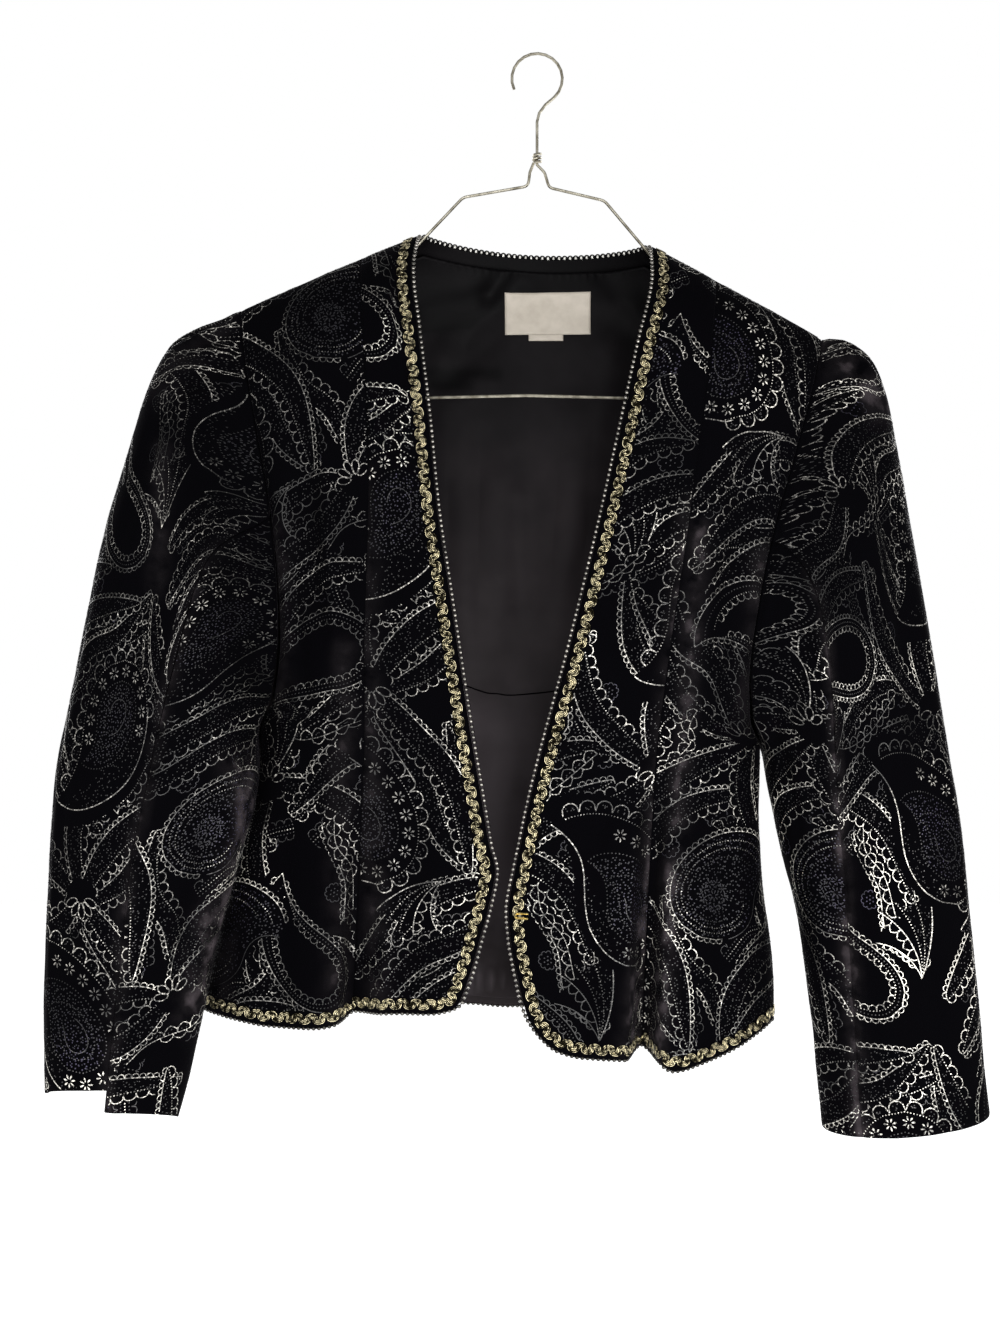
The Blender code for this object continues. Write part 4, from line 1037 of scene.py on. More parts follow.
def finer(grid):
    """A grid with one more row and column between every two."""
    for _ in range(2):
        between = (grid[1:] + grid[:-1]) / 2
        pairs = np.stack([grid[:-1], between], axis=1).reshape(-1, *grid.shape[1:])
        grid = np.swapaxes(np.concatenate([pairs, grid[-1:]]), 0, 1)
    return grid


back = panels["back"]
inner = (slice(LINING_INSET, -LINING_HEM_ROWS), slice(LINING_INSET, -LINING_INSET))
lining_flat = back.flat[inner]
from_top = back.flat[0, inner[1], 1] - lining_flat[..., 1]
from_hem = lining_flat[..., 1] - lining_flat[-1, :, 1]
lining_base, lining_out, from_top, from_hem = map(
    finer, (back.points[inner], back.normals[inner], from_top, from_hem))
swell, shade = lining_swell(lining_base, from_top, from_hem)
lining_points = lining_base - lining_out * (LINING_DEPTH + swell)[..., None]
lining_mesh = grid_mesh("back_lining_satin", lining_points, -lining_out)
lining_mesh.materials.append(satin)
store(lining_mesh, "shade", shade)
lining = link("back_lining_satin", lining_mesh, "satin", "back_lining")
add_wall(lining, LINING_WALL)
print("lining grid", lining_points.shape[:2], "largest swell in mm", round(float(swell.max()), 1))

# %% [markdown]
# The cloth is printed with a fine metallic paisley. A printer would chart one repeat and step it over the
# length of cloth. Here one repeat of 300 by 340 mm is charted in strokes: each stroke is a path with a
# half width at every point and one of three shades. All motifs are built from lines, dots and rows of
# small arches.

# %% Strokes of the print
TILE = np.array((300.0, 340.0))
BRIGHT, SOFT, VIOLET = 0, 1, 2
BOLD, PLAIN, FINE = 0.74, 0.6, 0.5
chance = random.Random(11)
Stroke = namedtuple("Stroke", "points half_widths shade")


def walk(points, pitch):
    """Places at an even pitch along a path."""
    points = np.asarray(points, float)
    run = np.concatenate([[0.0], np.cumsum(np.linalg.norm(np.diff(points, axis=0), axis=1))])
    at = np.linspace(0, run[-1], max(int(round(run[-1] / pitch)), 1) + 1)
    return np.column_stack([np.interp(at, run, column) for column in points.T])


def beside(points):
    """Directions square to a flat path."""
    along = np.gradient(points, axis=0)
    along /= np.maximum(np.hypot(along[:, 0], along[:, 1])[:, None], TINY)
    return np.column_stack([-along[:, 1], along[:, 0]])


def line(path, width=PLAIN, shade=BRIGHT, pitch=2.6):
    places = walk(path, pitch)
    return [Stroke(places, np.full(len(places), width / 2), shade)]


def dot(x, y, size=1.05, shade=BRIGHT):
    half = size / 2
    return Stroke(np.array([(x - half, y), (x, y), (x + half, y)]), np.array([0.45, 1.0, 0.45]) * half, shade)


def dotted(path, pitch=2.2, size=0.9, shade=BRIGHT):
    return [dot(x, y, size, shade) for x, y in walk(path, pitch)]


def scallops(path, pitch, depth, side=1, width=PLAIN, shade=BRIGHT, filled=0, pointed=False):
    """A row of small arches that stand on one side of a path."""
    feet = walk(path, pitch)
    steps = 6 if pitch > 7 else 4
    turn = np.linspace(0, pi, steps + 1)
    along = (1 - np.cos(turn)) / 2
    rise = np.sin(turn) ** 0.75
    if pointed:
        along = np.linspace(0, 1, steps + 1)
        rise = 1 - np.abs(2 * along - 1) ** 1.8
        along = 0.5 + (along - 0.5) * (1 + 0.35 * rise * (1 - rise) * 4)
    strokes = []
    for start, end in zip(feet, feet[1:]):
        chord = end - start
        across = np.array([-chord[1], chord[0]]) / max(hypot(*chord), TINY) * side
        arch = start + chord * along[:, None] + across * (rise * depth)[:, None]
        strokes.append(Stroke(arch, np.full(steps + 1, width / 2), shade))
        for _ in range(filled):
            x, y = start + chord * chance.uniform(0.25, 0.75) + across * depth * chance.uniform(0.15, 0.7)
            strokes.append(dot(x, y, 0.9, SOFT))
    return strokes


def blossom(x, y, reach=4.6, petals=7, shade=BRIGHT):
    """A flower of short strokes that swell towards their tips."""
    strokes = []
    first = chance.uniform(0, pi)
    for k in range(petals):
        turn = first + 2 * pi * k / petals
        radii = np.array([0.34, 0.78, 1.0]) * reach
        points = np.column_stack([x + radii * cos(turn), y + radii * sin(turn)])
        strokes.append(Stroke(points, np.array([0.2, 0.62, 0.25]) * reach / 4.8, shade))
    return strokes


def ring(x, y, reach, count):
    turn = np.linspace(0, 2 * pi, count + 1)
    return np.column_stack([x + reach * np.cos(turn), y + reach * np.sin(turn)])


def rosette(x, y, reach=6.5, shade=VIOLET):
    """A dim little flower: a ring of arches round a ring of dots."""
    strokes = scallops(ring(x, y, reach, 10), reach * 0.62, reach * 0.3, side=-1, width=FINE, shade=shade)
    strokes += [dot(px, py, 1.0, shade) for px, py in ring(x, y, reach * 0.5, 6)[:-1]]
    return strokes + [dot(x, y, 1.3, shade)]


print("one rosette has", len(rosette(0, 0)), "strokes")

# %% [markdown]
# The large motif is the drop with a bent tip. Its outline grows along a bending line and swells at one end.
# Smaller copies of the outline carry dots, blossoms and arches inside. Three fillings give the flower drop,
# the swirl and the open leaf, which stays dark inside.

# %% Drops of the print
def inside(points, outline):
    """Which points lie inside a closed outline."""
    x, y = points[:, 0], points[:, 1]
    hit = np.zeros(len(points), bool)
    before = outline[-1]
    for here in outline:
        crosses = (here[1] > y) != (before[1] > y)
        rise = before[1] - here[1]
        reach = (before[0] - here[0]) * (y - here[1]) / (rise if rise else 1.0) + here[0]
        hit ^= crosses & (x < reach)
        before = here
    return hit


def sprinkle(outline, pitch, shade=SOFT, size=0.95, keep=1.0):
    """Fine dots strewn over the inside of a closed outline."""
    low, high = outline.min(axis=0), outline.max(axis=0)
    places = []
    for row, y in enumerate(np.arange(low[1], high[1], pitch * 0.87)):
        for x in np.arange(low[0] + (row % 2) * pitch / 2, high[0], pitch):
            places.append((x + chance.uniform(-0.4, 0.4) * pitch, y + chance.uniform(-0.4, 0.4) * pitch))
    places = np.array(places).reshape(-1, 2)
    kept = places[inside(places, outline)]
    return [dot(x, y, size * chance.uniform(0.8, 1.15), shade) for x, y in kept if chance.random() < keep]


def bending_path(length, turn, curl, steps, power):
    """A path whose heading turns by curl along its length."""
    heading = radians(turn) + radians(curl) * np.linspace(0, 1, steps + 1) ** power
    moves = np.column_stack([np.cos(heading[:-1]), np.sin(heading[:-1])]) * length / steps
    return np.concatenate([np.zeros((1, 2)), np.cumsum(moves, axis=0)])


def drop_outline(x, y, length, width, turn, curl, scale=1.0):
    """A drop with a bent tip, from the tip round its bulb and back; (x, y) is the bulb's middle."""
    steps = 34
    spine = bending_path(length, turn, curl, steps, 2)
    half = width / 2 * np.abs(np.sin(pi * np.linspace(0, 1, steps + 1) ** 0.6)) ** 0.85
    across = beside(spine) * half[:, None]
    outline = np.concatenate([(spine + across)[::-1], (spine - across)[1:]]) - spine[int(0.31 * steps)]
    return outline * scale + np.array([x, y])


def part_of(outline, start, end):
    """The stretch of an outline between two shares of its length."""
    fine = walk(outline, 1.0)
    return fine[int(start * (len(fine) - 1)):int(end * (len(fine) - 1)) + 1]


def flower_drop(*place):
    """A large drop: bold arches and a row of blossoms on one side, a plain line on the other."""
    at = partial(drop_outline, *place)
    strokes = line(part_of(at(1.0), 0.0, 0.42), BOLD)
    strokes += scallops(part_of(at(1.0), 0.40, 0.97), pitch=12.0, depth=7.6, side=-1, width=BOLD, filled=5)
    strokes += dotted(part_of(at(0.97), 0.40, 0.97))
    for px, py in walk(part_of(at(0.78), 0.36, 0.86), 13.5):
        strokes += blossom(px, py)
    strokes += dotted(at(0.58), pitch=2.6, size=0.95, shade=SOFT)
    strokes += sprinkle(at(0.54), pitch=2.7, shade=VIOLET, size=1.05)
    strokes += dotted(at(0.36), pitch=2.6, size=0.95, shade=SOFT)
    strokes += line(part_of(at(0.24), 0.1, 0.8), FINE, SOFT)
    strokes += sprinkle(part_of(at(0.98), 0.03, 0.4), pitch=3.2, size=0.9, keep=0.6)
    return strokes, at(1.17)


def swirl(*place):
    """A drop of nested dotted lines with small loops over its top."""
    at = partial(drop_outline, *place)
    middle = np.array(place[:2], float)
    strokes = line(part_of(at(1.0), 0.05, 0.72))
    strokes += scallops(part_of(at(1.0), 0.05, 0.72), pitch=5.2, depth=3.2, side=-1, width=FINE)
    strokes += line(part_of(at(1.04), 0.74, 0.98), FINE, SOFT)
    strokes += sprinkle(at(0.96), pitch=2.8, shade=VIOLET, size=1.1, keep=0.8)
    strokes += dotted(part_of(at(0.86), 0.06, 0.8))
    strokes += dotted(part_of(at(0.74), 0.1, 0.85))
    strokes += dotted(part_of(at(0.6), 0.12, 0.75), pitch=2.4, shade=SOFT)
    for px, py in ring(*middle, 9, 9)[:-1]:
        strokes += blossom(px, py, reach=3.4, petals=6, shade=VIOLET)
    return strokes + blossom(*middle, reach=4.2, shade=VIOLET), at(1.1)


def open_leaf(*place):
    """A leaf left dark inside, with a narrow lace edge."""
    at = partial(drop_outline, *place)
    strokes = line(at(1.0))
    strokes += scallops(part_of(at(1.0), 0.02, 0.98), pitch=5.0, depth=3.1, side=-1, width=FINE)
    strokes += dotted(at(0.9), pitch=2.6, shade=SOFT)
    strokes += dotted(part_of(at(0.8), 0.02, 0.97))
    strokes += scallops(part_of(at(0.78), 0.05, 0.94), pitch=6.0, depth=3.4, width=FINE)
    return strokes, at(1.12)


print("one flower drop has", len(flower_drop(0, 0, 136, 74, 66, 95)[0]), "strokes")

# %% [markdown]
# From a few joints between the drops, long curved bands like lace spread out as in a bouquet. One edge is a
# line with small loops and the other a dotted line with larger arches. Serrated leaves, fans of rays, small
# petals and dotted trails fill the rest of the ground.

# %% Bands, leaves and fans
def smooth_path(corners, steps=14):
    """A smooth path through a few corners."""
    corners = [np.array(corner, float) for corner in corners]
    ends = [2 * corners[0] - corners[1]] + corners + [2 * corners[-1] - corners[-2]]
    path = []
    for a, b, c, d in zip(ends, ends[1:], ends[2:], ends[3:]):
        for t in np.linspace(0, 1, steps, endpoint=False):
            bend = (2 * a - 5 * b + 4 * c - d) * t * t + (3 * b - a - 3 * c + d) * t ** 3
            path.append(0.5 * (2 * b + (c - a) * t + bend))
    return np.array(path + [corners[-1]])


def lace_band(corners, width):
    """A long curved band, pointed at both ends: a line with loops on one edge, dots and arches on the other."""
    spine = walk(smooth_path(corners), 2.0)
    half = (width / 2 * np.abs(np.sin(pi * np.linspace(0, 1, len(spine)) ** 0.75)) ** 0.6)[:, None]
    across = beside(spine)
    upper, lower = spine + across * half, spine - across * half
    strokes = line(upper)
    strokes += scallops(upper, pitch=4.8, depth=3.1, width=FINE)
    strokes += dotted(spine - across * half * 0.75)
    strokes += scallops(lower, pitch=8.4, depth=4.4, side=-1)
    strokes += sprinkle(np.concatenate([upper, lower[::-1]]), pitch=2.8, size=0.85, keep=0.75)
    wide = across * (half + 4.0)
    return strokes, np.concatenate([spine + wide, (spine - wide)[::-1]])


def serrated_leaf(corners, depth):
    """A thin stem with pointed leaf edges on both sides."""
    stem = walk(smooth_path(corners), 2.0)
    across = beside(stem)
    strokes = line(stem, FINE)
    strokes += scallops(stem, 9.5, depth, filled=3, pointed=True)
    strokes += scallops(part_of(stem, 0.3, 0.95), 9.0, depth * 0.75, side=-1, width=FINE, pointed=True)
    return strokes, np.concatenate([stem + across * depth, (stem - across * depth)[::-1]])


def trail(corners):
    """A dotted line with dim dots and arches on both sides."""
    spine = walk(smooth_path(corners), 2.0)
    across = beside(spine)
    strokes = dotted(spine)
    for side in (-1, 1):
        strokes += dotted(spine + across * 2.8 * side, pitch=2.6, shade=SOFT)
        strokes += scallops(spine + across * 4.6 * side, 6.4, 3.2, side, width=FINE, shade=SOFT)
    return strokes, np.concatenate([spine + across * 8, (spine - across * 8)[::-1]])


def ray_fan(x, y, reach, turn, bend):
    """A fan of curved rays from one point: plain lines, dotted lines and a row of pointed arches."""
    rays = [bending_path(reach * (1 - 0.05 * k), turn + 10 * k, bend + 7 * k, 20, 1) + (x, y) for k in range(6)]
    strokes = line(rays[0], BOLD)
    strokes += sprinkle(np.concatenate([rays[0], rays[2][::-1]]), pitch=2.8, size=0.9, keep=0.7)
    strokes += dotted(rays[1]) + dotted(rays[2]) + line(rays[3])
    strokes += scallops(part_of(rays[3], 0.25, 1.0), pitch=8.5, depth=6.4, pointed=True)
    strokes += line(rays[5])
    strokes += scallops(part_of(rays[5], 0.2, 1.0), pitch=5.2, depth=3.2, width=FINE)
    return strokes, np.concatenate([rays[0], rays[5][::-1]])


def petal_fan(x, y, reach, turn, petals=5):
    """A small half flower of rounded petals where bands meet."""
    strokes = []
    for k in range(petals):
        angle = radians(turn + (k - (petals - 1) / 2) * 34)
        u = np.linspace(0, 2 * pi, 9)
        petal = np.column_stack([0.62 - 0.38 * np.cos(u), 0.2 * np.sin(u)]) * reach
        c, s = cos(angle), sin(angle)
        strokes += line(petal @ np.array([[c, s], [-s, c]]) + (x, y), pitch=2.0)
    return strokes, ring(x, y, reach * 0.9, 16)[:-1]


print("one ray fan has", len(ray_fan(0, 0, 60, 30, 40)[0]), "strokes")

# %% [markdown]
# The chart places every motif of one repeat. What is listed first lies on top, and it hides the strokes of
# later motifs, just as a block printer leaves the ground free behind a large figure. The repeat wraps round
# at its edges.

# %% Chart of one repeat
Motif = namedtuple("Motif", "make place")
CHART = (
    Motif(flower_drop, (84, 78, 136, 74, 66, 95)),
    Motif(flower_drop, (228, 256, 126, 70, 240, -90)),
    Motif(swirl, (206, 92, 108, 66, 36, -140)),
    Motif(petal_fan, (140, 158, 15, 240)),
    Motif(petal_fan, (294, 176, 15, 60)),
    Motif(petal_fan, (152, 330, 14, 90)),
    Motif(lace_band, (((140, 158), (104, 152), (56, 164), (2, 146)), 18)),
    Motif(lace_band, (((140, 158), (180, 172), (226, 176), (290, 168)), 20)),
    Motif(lace_band, (((140, 158), (156, 196), (178, 222), (174, 284)), 18)),
    Motif(open_leaf, (70, 240, 124, 56, 140, 85)),
    Motif(lace_band, (((140, 158), (124, 196), (118, 232), (132, 282)), 17)),
    Motif(lace_band, (((140, 158), (146, 120), (152, 72), (130, 14)), 18)),
    Motif(open_leaf, (274, 36, 112, 48, 118, -75)),
    Motif(lace_band, (((152, 330), (112, 316), (66, 320), (8, 296)), 18)),
    Motif(lace_band, (((152, 330), (190, 342), (226, 338), (276, 316)), 18)),
    Motif(lace_band, (((152, -10), (178, 22), (214, 34), (252, 20)), 17)),
    Motif(ray_fan, (12, 16, 62, 30, 40)),
    Motif(lace_band, (((294, 176), (268, 144), (262, 104), (282, 70)), 17)),
    Motif(lace_band, (((294, 176), (300, 220), (284, 256), (292, 312)), 18)),
    Motif(ray_fan, (296, 180, 60, 10, 50)),
    Motif(lace_band, (((294, 176), (330, 146), (346, 112), (338, 62)), 17)),
    Motif(serrated_leaf, (((18, 204), (34, 188), (66, 182), (108, 190)), 6.5)),
    Motif(serrated_leaf, (((196, 200), (206, 186), (240, 190), (270, 204)), 6.0)),
    Motif(serrated_leaf, (((108, 300), (128, 306), (160, 300), (196, 306)), 6.0)),
    Motif(serrated_leaf, (((20, 60), (28, 88), (24, 112), (34, 136)), 6.0)),
    Motif(serrated_leaf, (((232, 134), (244, 112), (248, 84), (240, 56)), 6.0)),
    Motif(ray_fan, (176, 300, 54, 20, 50)),
    Motif(ray_fan, (110, 20, 52, 150, 50)),
    *(Motif(lace_band, band) for band in (
        (((2, 262), (40, 282), (86, 290), (140, 268)), 16),
        (((144, 150), (180, 148), (226, 154), (284, 132)), 15),
        (((60, 340), (92, 352), (126, 346), (150, 330)), 15),
        (((176, 20), (204, 38), (236, 42), (262, 62)), 14),
        (((180, 186), (166, 214), (160, 250), (176, 300)), 15),
        (((294, 176), (270, 200), (264, 234), (276, 290)), 16),
        (((8, 296), (38, 304), (80, 300), (112, 316)), 15),
        (((6, 140), (28, 160), (64, 172), (110, 168)), 14),
        (((180, 300), (214, 312), (246, 306), (290, 316)), 15),
        (((132, 12), (128, 50), (136, 90), (130, 140)), 14),
        (((160, 12), (166, 40), (160, 70), (172, 112)), 14),
        (((250, 20), (236, 50), (246, 80), (262, 112)), 14),
        (((296, 176), (318, 190), (330, 214), (322, 250)), 14),
        (((20, 20), (14, 50), (26, 84), (20, 128)), 14),
        (((20, 190), (60, 204), (98, 200), (130, 176)), 14),
        (((186, 196), (216, 204), (250, 214), (284, 200)), 14),
        (((20, -6), (50, 6), (86, 18), (130, 12)), 14),
        (((200, 330), (226, 318), (254, 300), (292, 292)), 13),
    )),
    *(Motif(trail, (corners,)) for corners in (
        ((10, 120), (60, 136), (100, 138), (136, 150)),
        ((150, 300), (196, 292), (236, 300), (290, 280)),
        ((100, 190), (104, 220), (96, 262), (110, 300)),
        ((230, 130), (256, 124), (276, 140), (300, 136)),
        ((140, 20), (150, 60), (144, 100), (150, 150)),
        ((30, 330), (80, 338), (120, 322), (160, 336)),
        ((190, 50), (214, 56), (240, 48), (276, 66)),
        ((0, 210), (20, 226), (18, 252), (30, 280)),
    )),
)
ROSETTES = ((20, 40), (134, 20), (196, 138), (112, 186), (132, 226), (18, 182), (244, 112), (238, 138),
            (14, 242), (196, 266), (244, 312), (212, 6), (52, 298), (292, 20), (112, 300), (190, 190),
            (62, 140), (10, 80), (150, 66), (232, 16), (280, 136), (250, 320), (90, 280), (30, 270), (170, 240))
SHIFTS = [TILE * (across, up) for across in (-1, 0, 1) for up in (-1, 0, 1)]


def covered(points, masks):
    """Which points lie under motifs that are charted already, in any repeat."""
    gone = np.zeros(len(points), bool)
    for mask in masks:
        low, high = mask.min(axis=0), mask.max(axis=0)
        for shift in SHIFTS:
            moved = points - shift
            near = np.all((moved >= low) & (moved <= high), axis=1) & ~gone
            if near.any():
                gone[near] = inside(moved[near], mask)
    return gone


def showing(strokes, masks):
    """The stretches of strokes that no earlier motif hides."""
    kept = []
    gone = covered(np.concatenate([stroke.points for stroke in strokes]), masks)
    start = 0
    for stroke in strokes:
        seen = ~gone[start:start + len(stroke.points)]
        start += len(stroke.points)
        for run in np.split(np.arange(len(seen)), np.flatnonzero(np.diff(seen)) + 1):
            if seen[run[0]] and len(run) > 1:
                kept.append(Stroke(stroke.points[run], stroke.half_widths[run], stroke.shade))
    return kept


def repeat_strokes():
    masks = []
    strokes = []
    for motif in CHART:
        found, mask = motif.make(*motif.place)
        strokes += showing(found, masks)
        masks.append(mask)
    for x, y in ROSETTES:
        strokes += showing(rosette(x, y, chance.uniform(5.2, 7.4)), masks)
    return strokes


repeat = repeat_strokes()
print("strokes in one repeat:", len(repeat), "points:", sum(len(stroke.points) for stroke in repeat))

# %% [markdown]
# Each panel was cut from the printed cloth at another place and on the slant, so each has its own step of
# the repeat. A stroke is laid by finding the triangle of the panel's flat map under each of its points and
# moving the point to the same spot of the hanging cloth. One side of the stroke is drawn as a chain of edges
# and extruded to the other side. What falls off the panel or under the braid is left out.

# %% Lay the print on the panels
PRINT_LIFT = 0.3
TRIM_CELLS = EDGE_COLUMNS.index(TRIM_LIMIT)
ON_PANEL = 0.02
PRINT_SLANT = radians(32)
SLANT = np.array(((cos(PRINT_SLANT), sin(PRINT_SLANT)), (-sin(PRINT_SLANT), cos(PRINT_SLANT))))
PrintPlace = namedtuple("PrintPlace", "tile s t")
PRINT_PLACES = {
    "front_left": PrintPlace((84, 78), 30, -470),
    "side_front_left": PrintPlace((206, 92), -8, -458),
    "front_right": PrintPlace((84, 78), -30, -421),
    "side_front_right": PrintPlace((70, 240), 10, -300),
    "sleeve_upper_left": PrintPlace((84, 78), -34, -415),
    "sleeve_under_left": PrintPlace((206, 92), 44, -450),
    "sleeve_upper_right": PrintPlace((84, 78), 45, -575),
    "sleeve_under_right": PrintPlace((206, 92), -44, -426),
    "back": PrintPlace((150, 170), 0, -250),
}


def stroke_sides(strokes):
    """Left and right side of every stroke's points, its shade, and whether the point ends its stroke."""
    across = [beside(stroke.points) * stroke.half_widths[:, None] for stroke in strokes]
    left = np.concatenate([stroke.points + wide for stroke, wide in zip(strokes, across)])
    right = np.concatenate([stroke.points - wide for stroke, wide in zip(strokes, across)])
    shade = np.concatenate([np.full(len(stroke.points), stroke.shade) for stroke in strokes])
    ends = np.cumsum([len(stroke.points) for stroke in strokes]) - 1
    goes_on = np.ones(len(left), bool)
    goes_on[ends] = False
    return left, right, shade, goes_on


def flat_corners(panel):
    """Triangles of a panel's grid, as point numbers."""
    rows, columns = panel.flat.shape[:2]
    number = np.arange(rows * columns).reshape(rows, columns)
    a, b, c, d = number[:-1, :-1], number[:-1, 1:], number[1:, 1:], number[1:, :-1]
    return np.concatenate([np.stack([a, b, c], -1).reshape(-1, 3), np.stack([a, c, d], -1).reshape(-1, 3)])


def cross_2d(first, second):
    return first[:, 0] * second[:, 1] - first[:, 1] * second[:, 0]


def clear_of_trim(name, panel, cells):
    """Which cells of a panel's grid lie clear of the trimmed edges, where the braid covers the cloth."""
    rows, columns = (size - 1 for size in panel.flat.shape[:2])
    cells = cells % (rows * columns)
    clear = np.ones(len(cells), bool)
    if not name.startswith("sleeve"):
        clear &= cells // columns < rows - TRIM_CELLS
    if name.startswith("front"):
        clear &= cells % columns >= TRIM_CELLS
    return clear


def lay_on(name, panel, tree, corners, places):
    """Flat places moved onto the hanging cloth, and which of them are printed."""
    found = [tree.find_nearest((x, y, 0.0)) for x, y in places.tolist()]
    cells = np.array([hit[2] for hit in found])
    triangle = corners[cells]
    on_panel = (np.array([hit[3] for hit in found]) < ON_PANEL) & clear_of_trim(name, panel, cells)
    flat = panel.flat.reshape(-1, 2)
    a, b, c = (flat[triangle[:, k]] for k in range(3))
    area = cross_2d(b - a, c - a)
    area = np.where(np.abs(area) < TINY, TINY, area)
    share_b = cross_2d(places - a, c - a) / area
    share_c = cross_2d(b - a, places - a) / area
    shares = np.stack([1 - share_b - share_c, share_b, share_c], axis=1)[..., None]
    lifted = (panel.points + panel.normals * PRINT_LIFT).reshape(-1, 3)
    return (lifted[triangle] * shares).sum(axis=1), on_panel


def stepped(panel, place, sides):
    """All strokes of the stepped and slanted repeat that come near the panel."""
    left, right, shade, goes_on = sides
    low, high = panel.flat.min(axis=(0, 1)), panel.flat.max(axis=(0, 1))
    middle = np.array((place.s, place.t), float)
    reached = (panel.flat.reshape(-1, 2) - middle) @ SLANT.T + place.tile
    first = np.floor(reached.min(axis=0) / TILE).astype(int) - 1
    last = np.ceil(reached.max(axis=0) / TILE).astype(int)
    parts = []
    for across in range(first[0], last[0] + 1):
        for up in range(first[1], last[1] + 1):
            shift = TILE * (across, up) - place.tile
            here, there = ((side + shift) @ SLANT + middle for side in (left, right))
            near = np.all((here > low) & (here < high), axis=1)
            follows = goes_on & np.append(near[1:], False)
            parts.append((here[near], there[near], shade[near], follows[near]))
    return [np.concatenate(column) for column in zip(*parts)]


def print_mesh(name, panel, place, sides):
    left, right, shade, goes_on = stepped(panel, place, sides)
    corners = flat_corners(panel)
    flat = np.pad(panel.flat.reshape(-1, 2), ((0, 0), (0, 1)))
    tree = BVHTree.FromPolygons(flat.tolist(), corners.tolist(), all_triangles=True)
    left, left_on = lay_on(name, panel, tree, corners, left)
    right, right_on = lay_on(name, panel, tree, corners, right)
    on_panel = left_on & right_on
    start, across = world(left), world(right) - world(left)
    form = bmesh.new()
    over = form.verts.layers.float_vector.new("over")
    tint = form.verts.layers.int.new("tint")
    chain = []
    for k in range(len(start)):
        vert = form.verts.new(start[k]) if on_panel[k] else None
        if vert:
            vert[over] = across[k]
            vert[tint] = int(shade[k])
        chain.append(vert)
    for k in np.flatnonzero(goes_on[:-1] & on_panel[:-1] & on_panel[1:]):
        form.edges.new((chain[k], chain[k + 1]))
    extruded = bmesh.ops.extrude_edge_only(form, edges=form.edges[:])["geom"]
    for vert in extruded:
        if isinstance(vert, bmesh.types.BMVert):
            vert.co += vert[over]
    bmesh.ops.delete(form, geom=[vert for vert in form.verts if not vert.link_faces], context="VERTS")
    for face in form.faces:
        face.material_index = face.verts[0][tint]
    form.normal_update()
    mesh = bpy.data.meshes.new(name)
    form.to_mesh(mesh)
    form.free()
    return mesh


sides = stroke_sides(repeat)
print("points on each side of one repeat:", len(sides[0]))

# %% [markdown]
# The print is glitter, which sparkles in grains and is worn off in patches. A fine noise gives the grains and a
# coarse one the patches. An attribute called glint then paints where the glitter catches the light and where it
# lies in shade, painted highlights and painted shade from a table of listed spots.

# %% Glitter of the print
Glint = namedtuple("Glint", "x z radius gain")
GLINTS = (
    Glint(0.254, -0.675, 0.10, 0.26),
    Glint(0.256, -0.775, 0.05, -0.15),
    Glint(0.0, -0.220, 0.22, -0.05),
    Glint(-0.314, -0.654, 0.08, 0.10),
    Glint(-0.250, -0.250, 0.10, -0.22),
    Glint(-0.255, -0.420, 0.12, -0.18),
    Glint(-0.235, -0.630, 0.06, -0.10),
    Glint(-0.130, -0.250, 0.07, -0.08),
    Glint(-0.127, -0.363, 0.09, -0.07),
    Glint(-0.096, -0.600, 0.10, -0.13),
    Glint(0.190, -0.243, 0.07, -0.12),
    Glint(0.127, -0.370, 0.09, -0.13),
    Glint(0.075, -0.440, 0.06, -0.08),
    Glint(0.127, -0.500, 0.06, -0.10),
    Glint(0.100, -0.690, 0.07, -0.12),
    Glint(0.247, -0.370, 0.09, -0.08),
)
GLINT_BASE = 0.91


def glint_of(points):
    """Painted light and shade of the glitter at each point: how well it catches the light, from the listed bright
    and dim spots.
    """
    total = np.full(len(points), GLINT_BASE)
    for spot in GLINTS:
        far = np.hypot(points[:, 0] - spot.x, points[:, 2] - spot.z)
        total += spot.gain * np.exp(-(far / spot.radius) ** 2)
    return total


def glitter_finish(name, dim, middle, lit, roughness):
    material, tree, shader = new_finish(name, lit, roughness, 0.25)
    sparkle = object_noise(tree, 700.0, 1.0)
    # The glint attribute paints highlights and shade onto the glitter.
    patches = combine(tree, "MULTIPLY", object_noise(tree, 14.0, 2.0), attribute(tree, "glint"))
    both = combine(tree, "MULTIPLY", sparkle, patches)
    paint(tree, shader, both, (0.16, dim), (0.25, middle), (0.34, lit))
    return material


glitter = (
    glitter_finish("print_bright", (0.008, 0.0077, 0.0074), (0.23, 0.22, 0.20), (0.97, 0.93, 0.83), 0.4),
    glitter_finish("print_soft", (0.0022, 0.0021, 0.0025), (0.012, 0.0115, 0.0125), (0.10, 0.094, 0.095), 0.5),
    glitter_finish("print_violet", (0.0024, 0.0021, 0.0042), (0.008, 0.007, 0.014), (0.044, 0.037, 0.072), 0.5),
)
for name, place in PRINT_PLACES.items():
    mesh = print_mesh(name + "_print", panels[name], place, sides)
    corners = np.empty(len(mesh.vertices) * 3)
    mesh.vertices.foreach_get("co", corners)
    store(mesh, "glint", glint_of(corners.reshape(-1, 3)))
    for finish in glitter:
        mesh.materials.append(finish)
    toward = panels[name].normals.reshape(-1, 3)
    middle = mesh.polygons[len(mesh.polygons) // 2]
    near = np.argmin(np.linalg.norm(world(panels[name].points.reshape(-1, 3)) - np.array(middle.center), axis=1))
    if middle.normal.dot(Vector((TURN @ toward[near]).tolist())) < 0:
        mesh.flip_normals()
    link(name + "_print", mesh, "bead")
    print(name, "print faces", len(mesh.polygons))

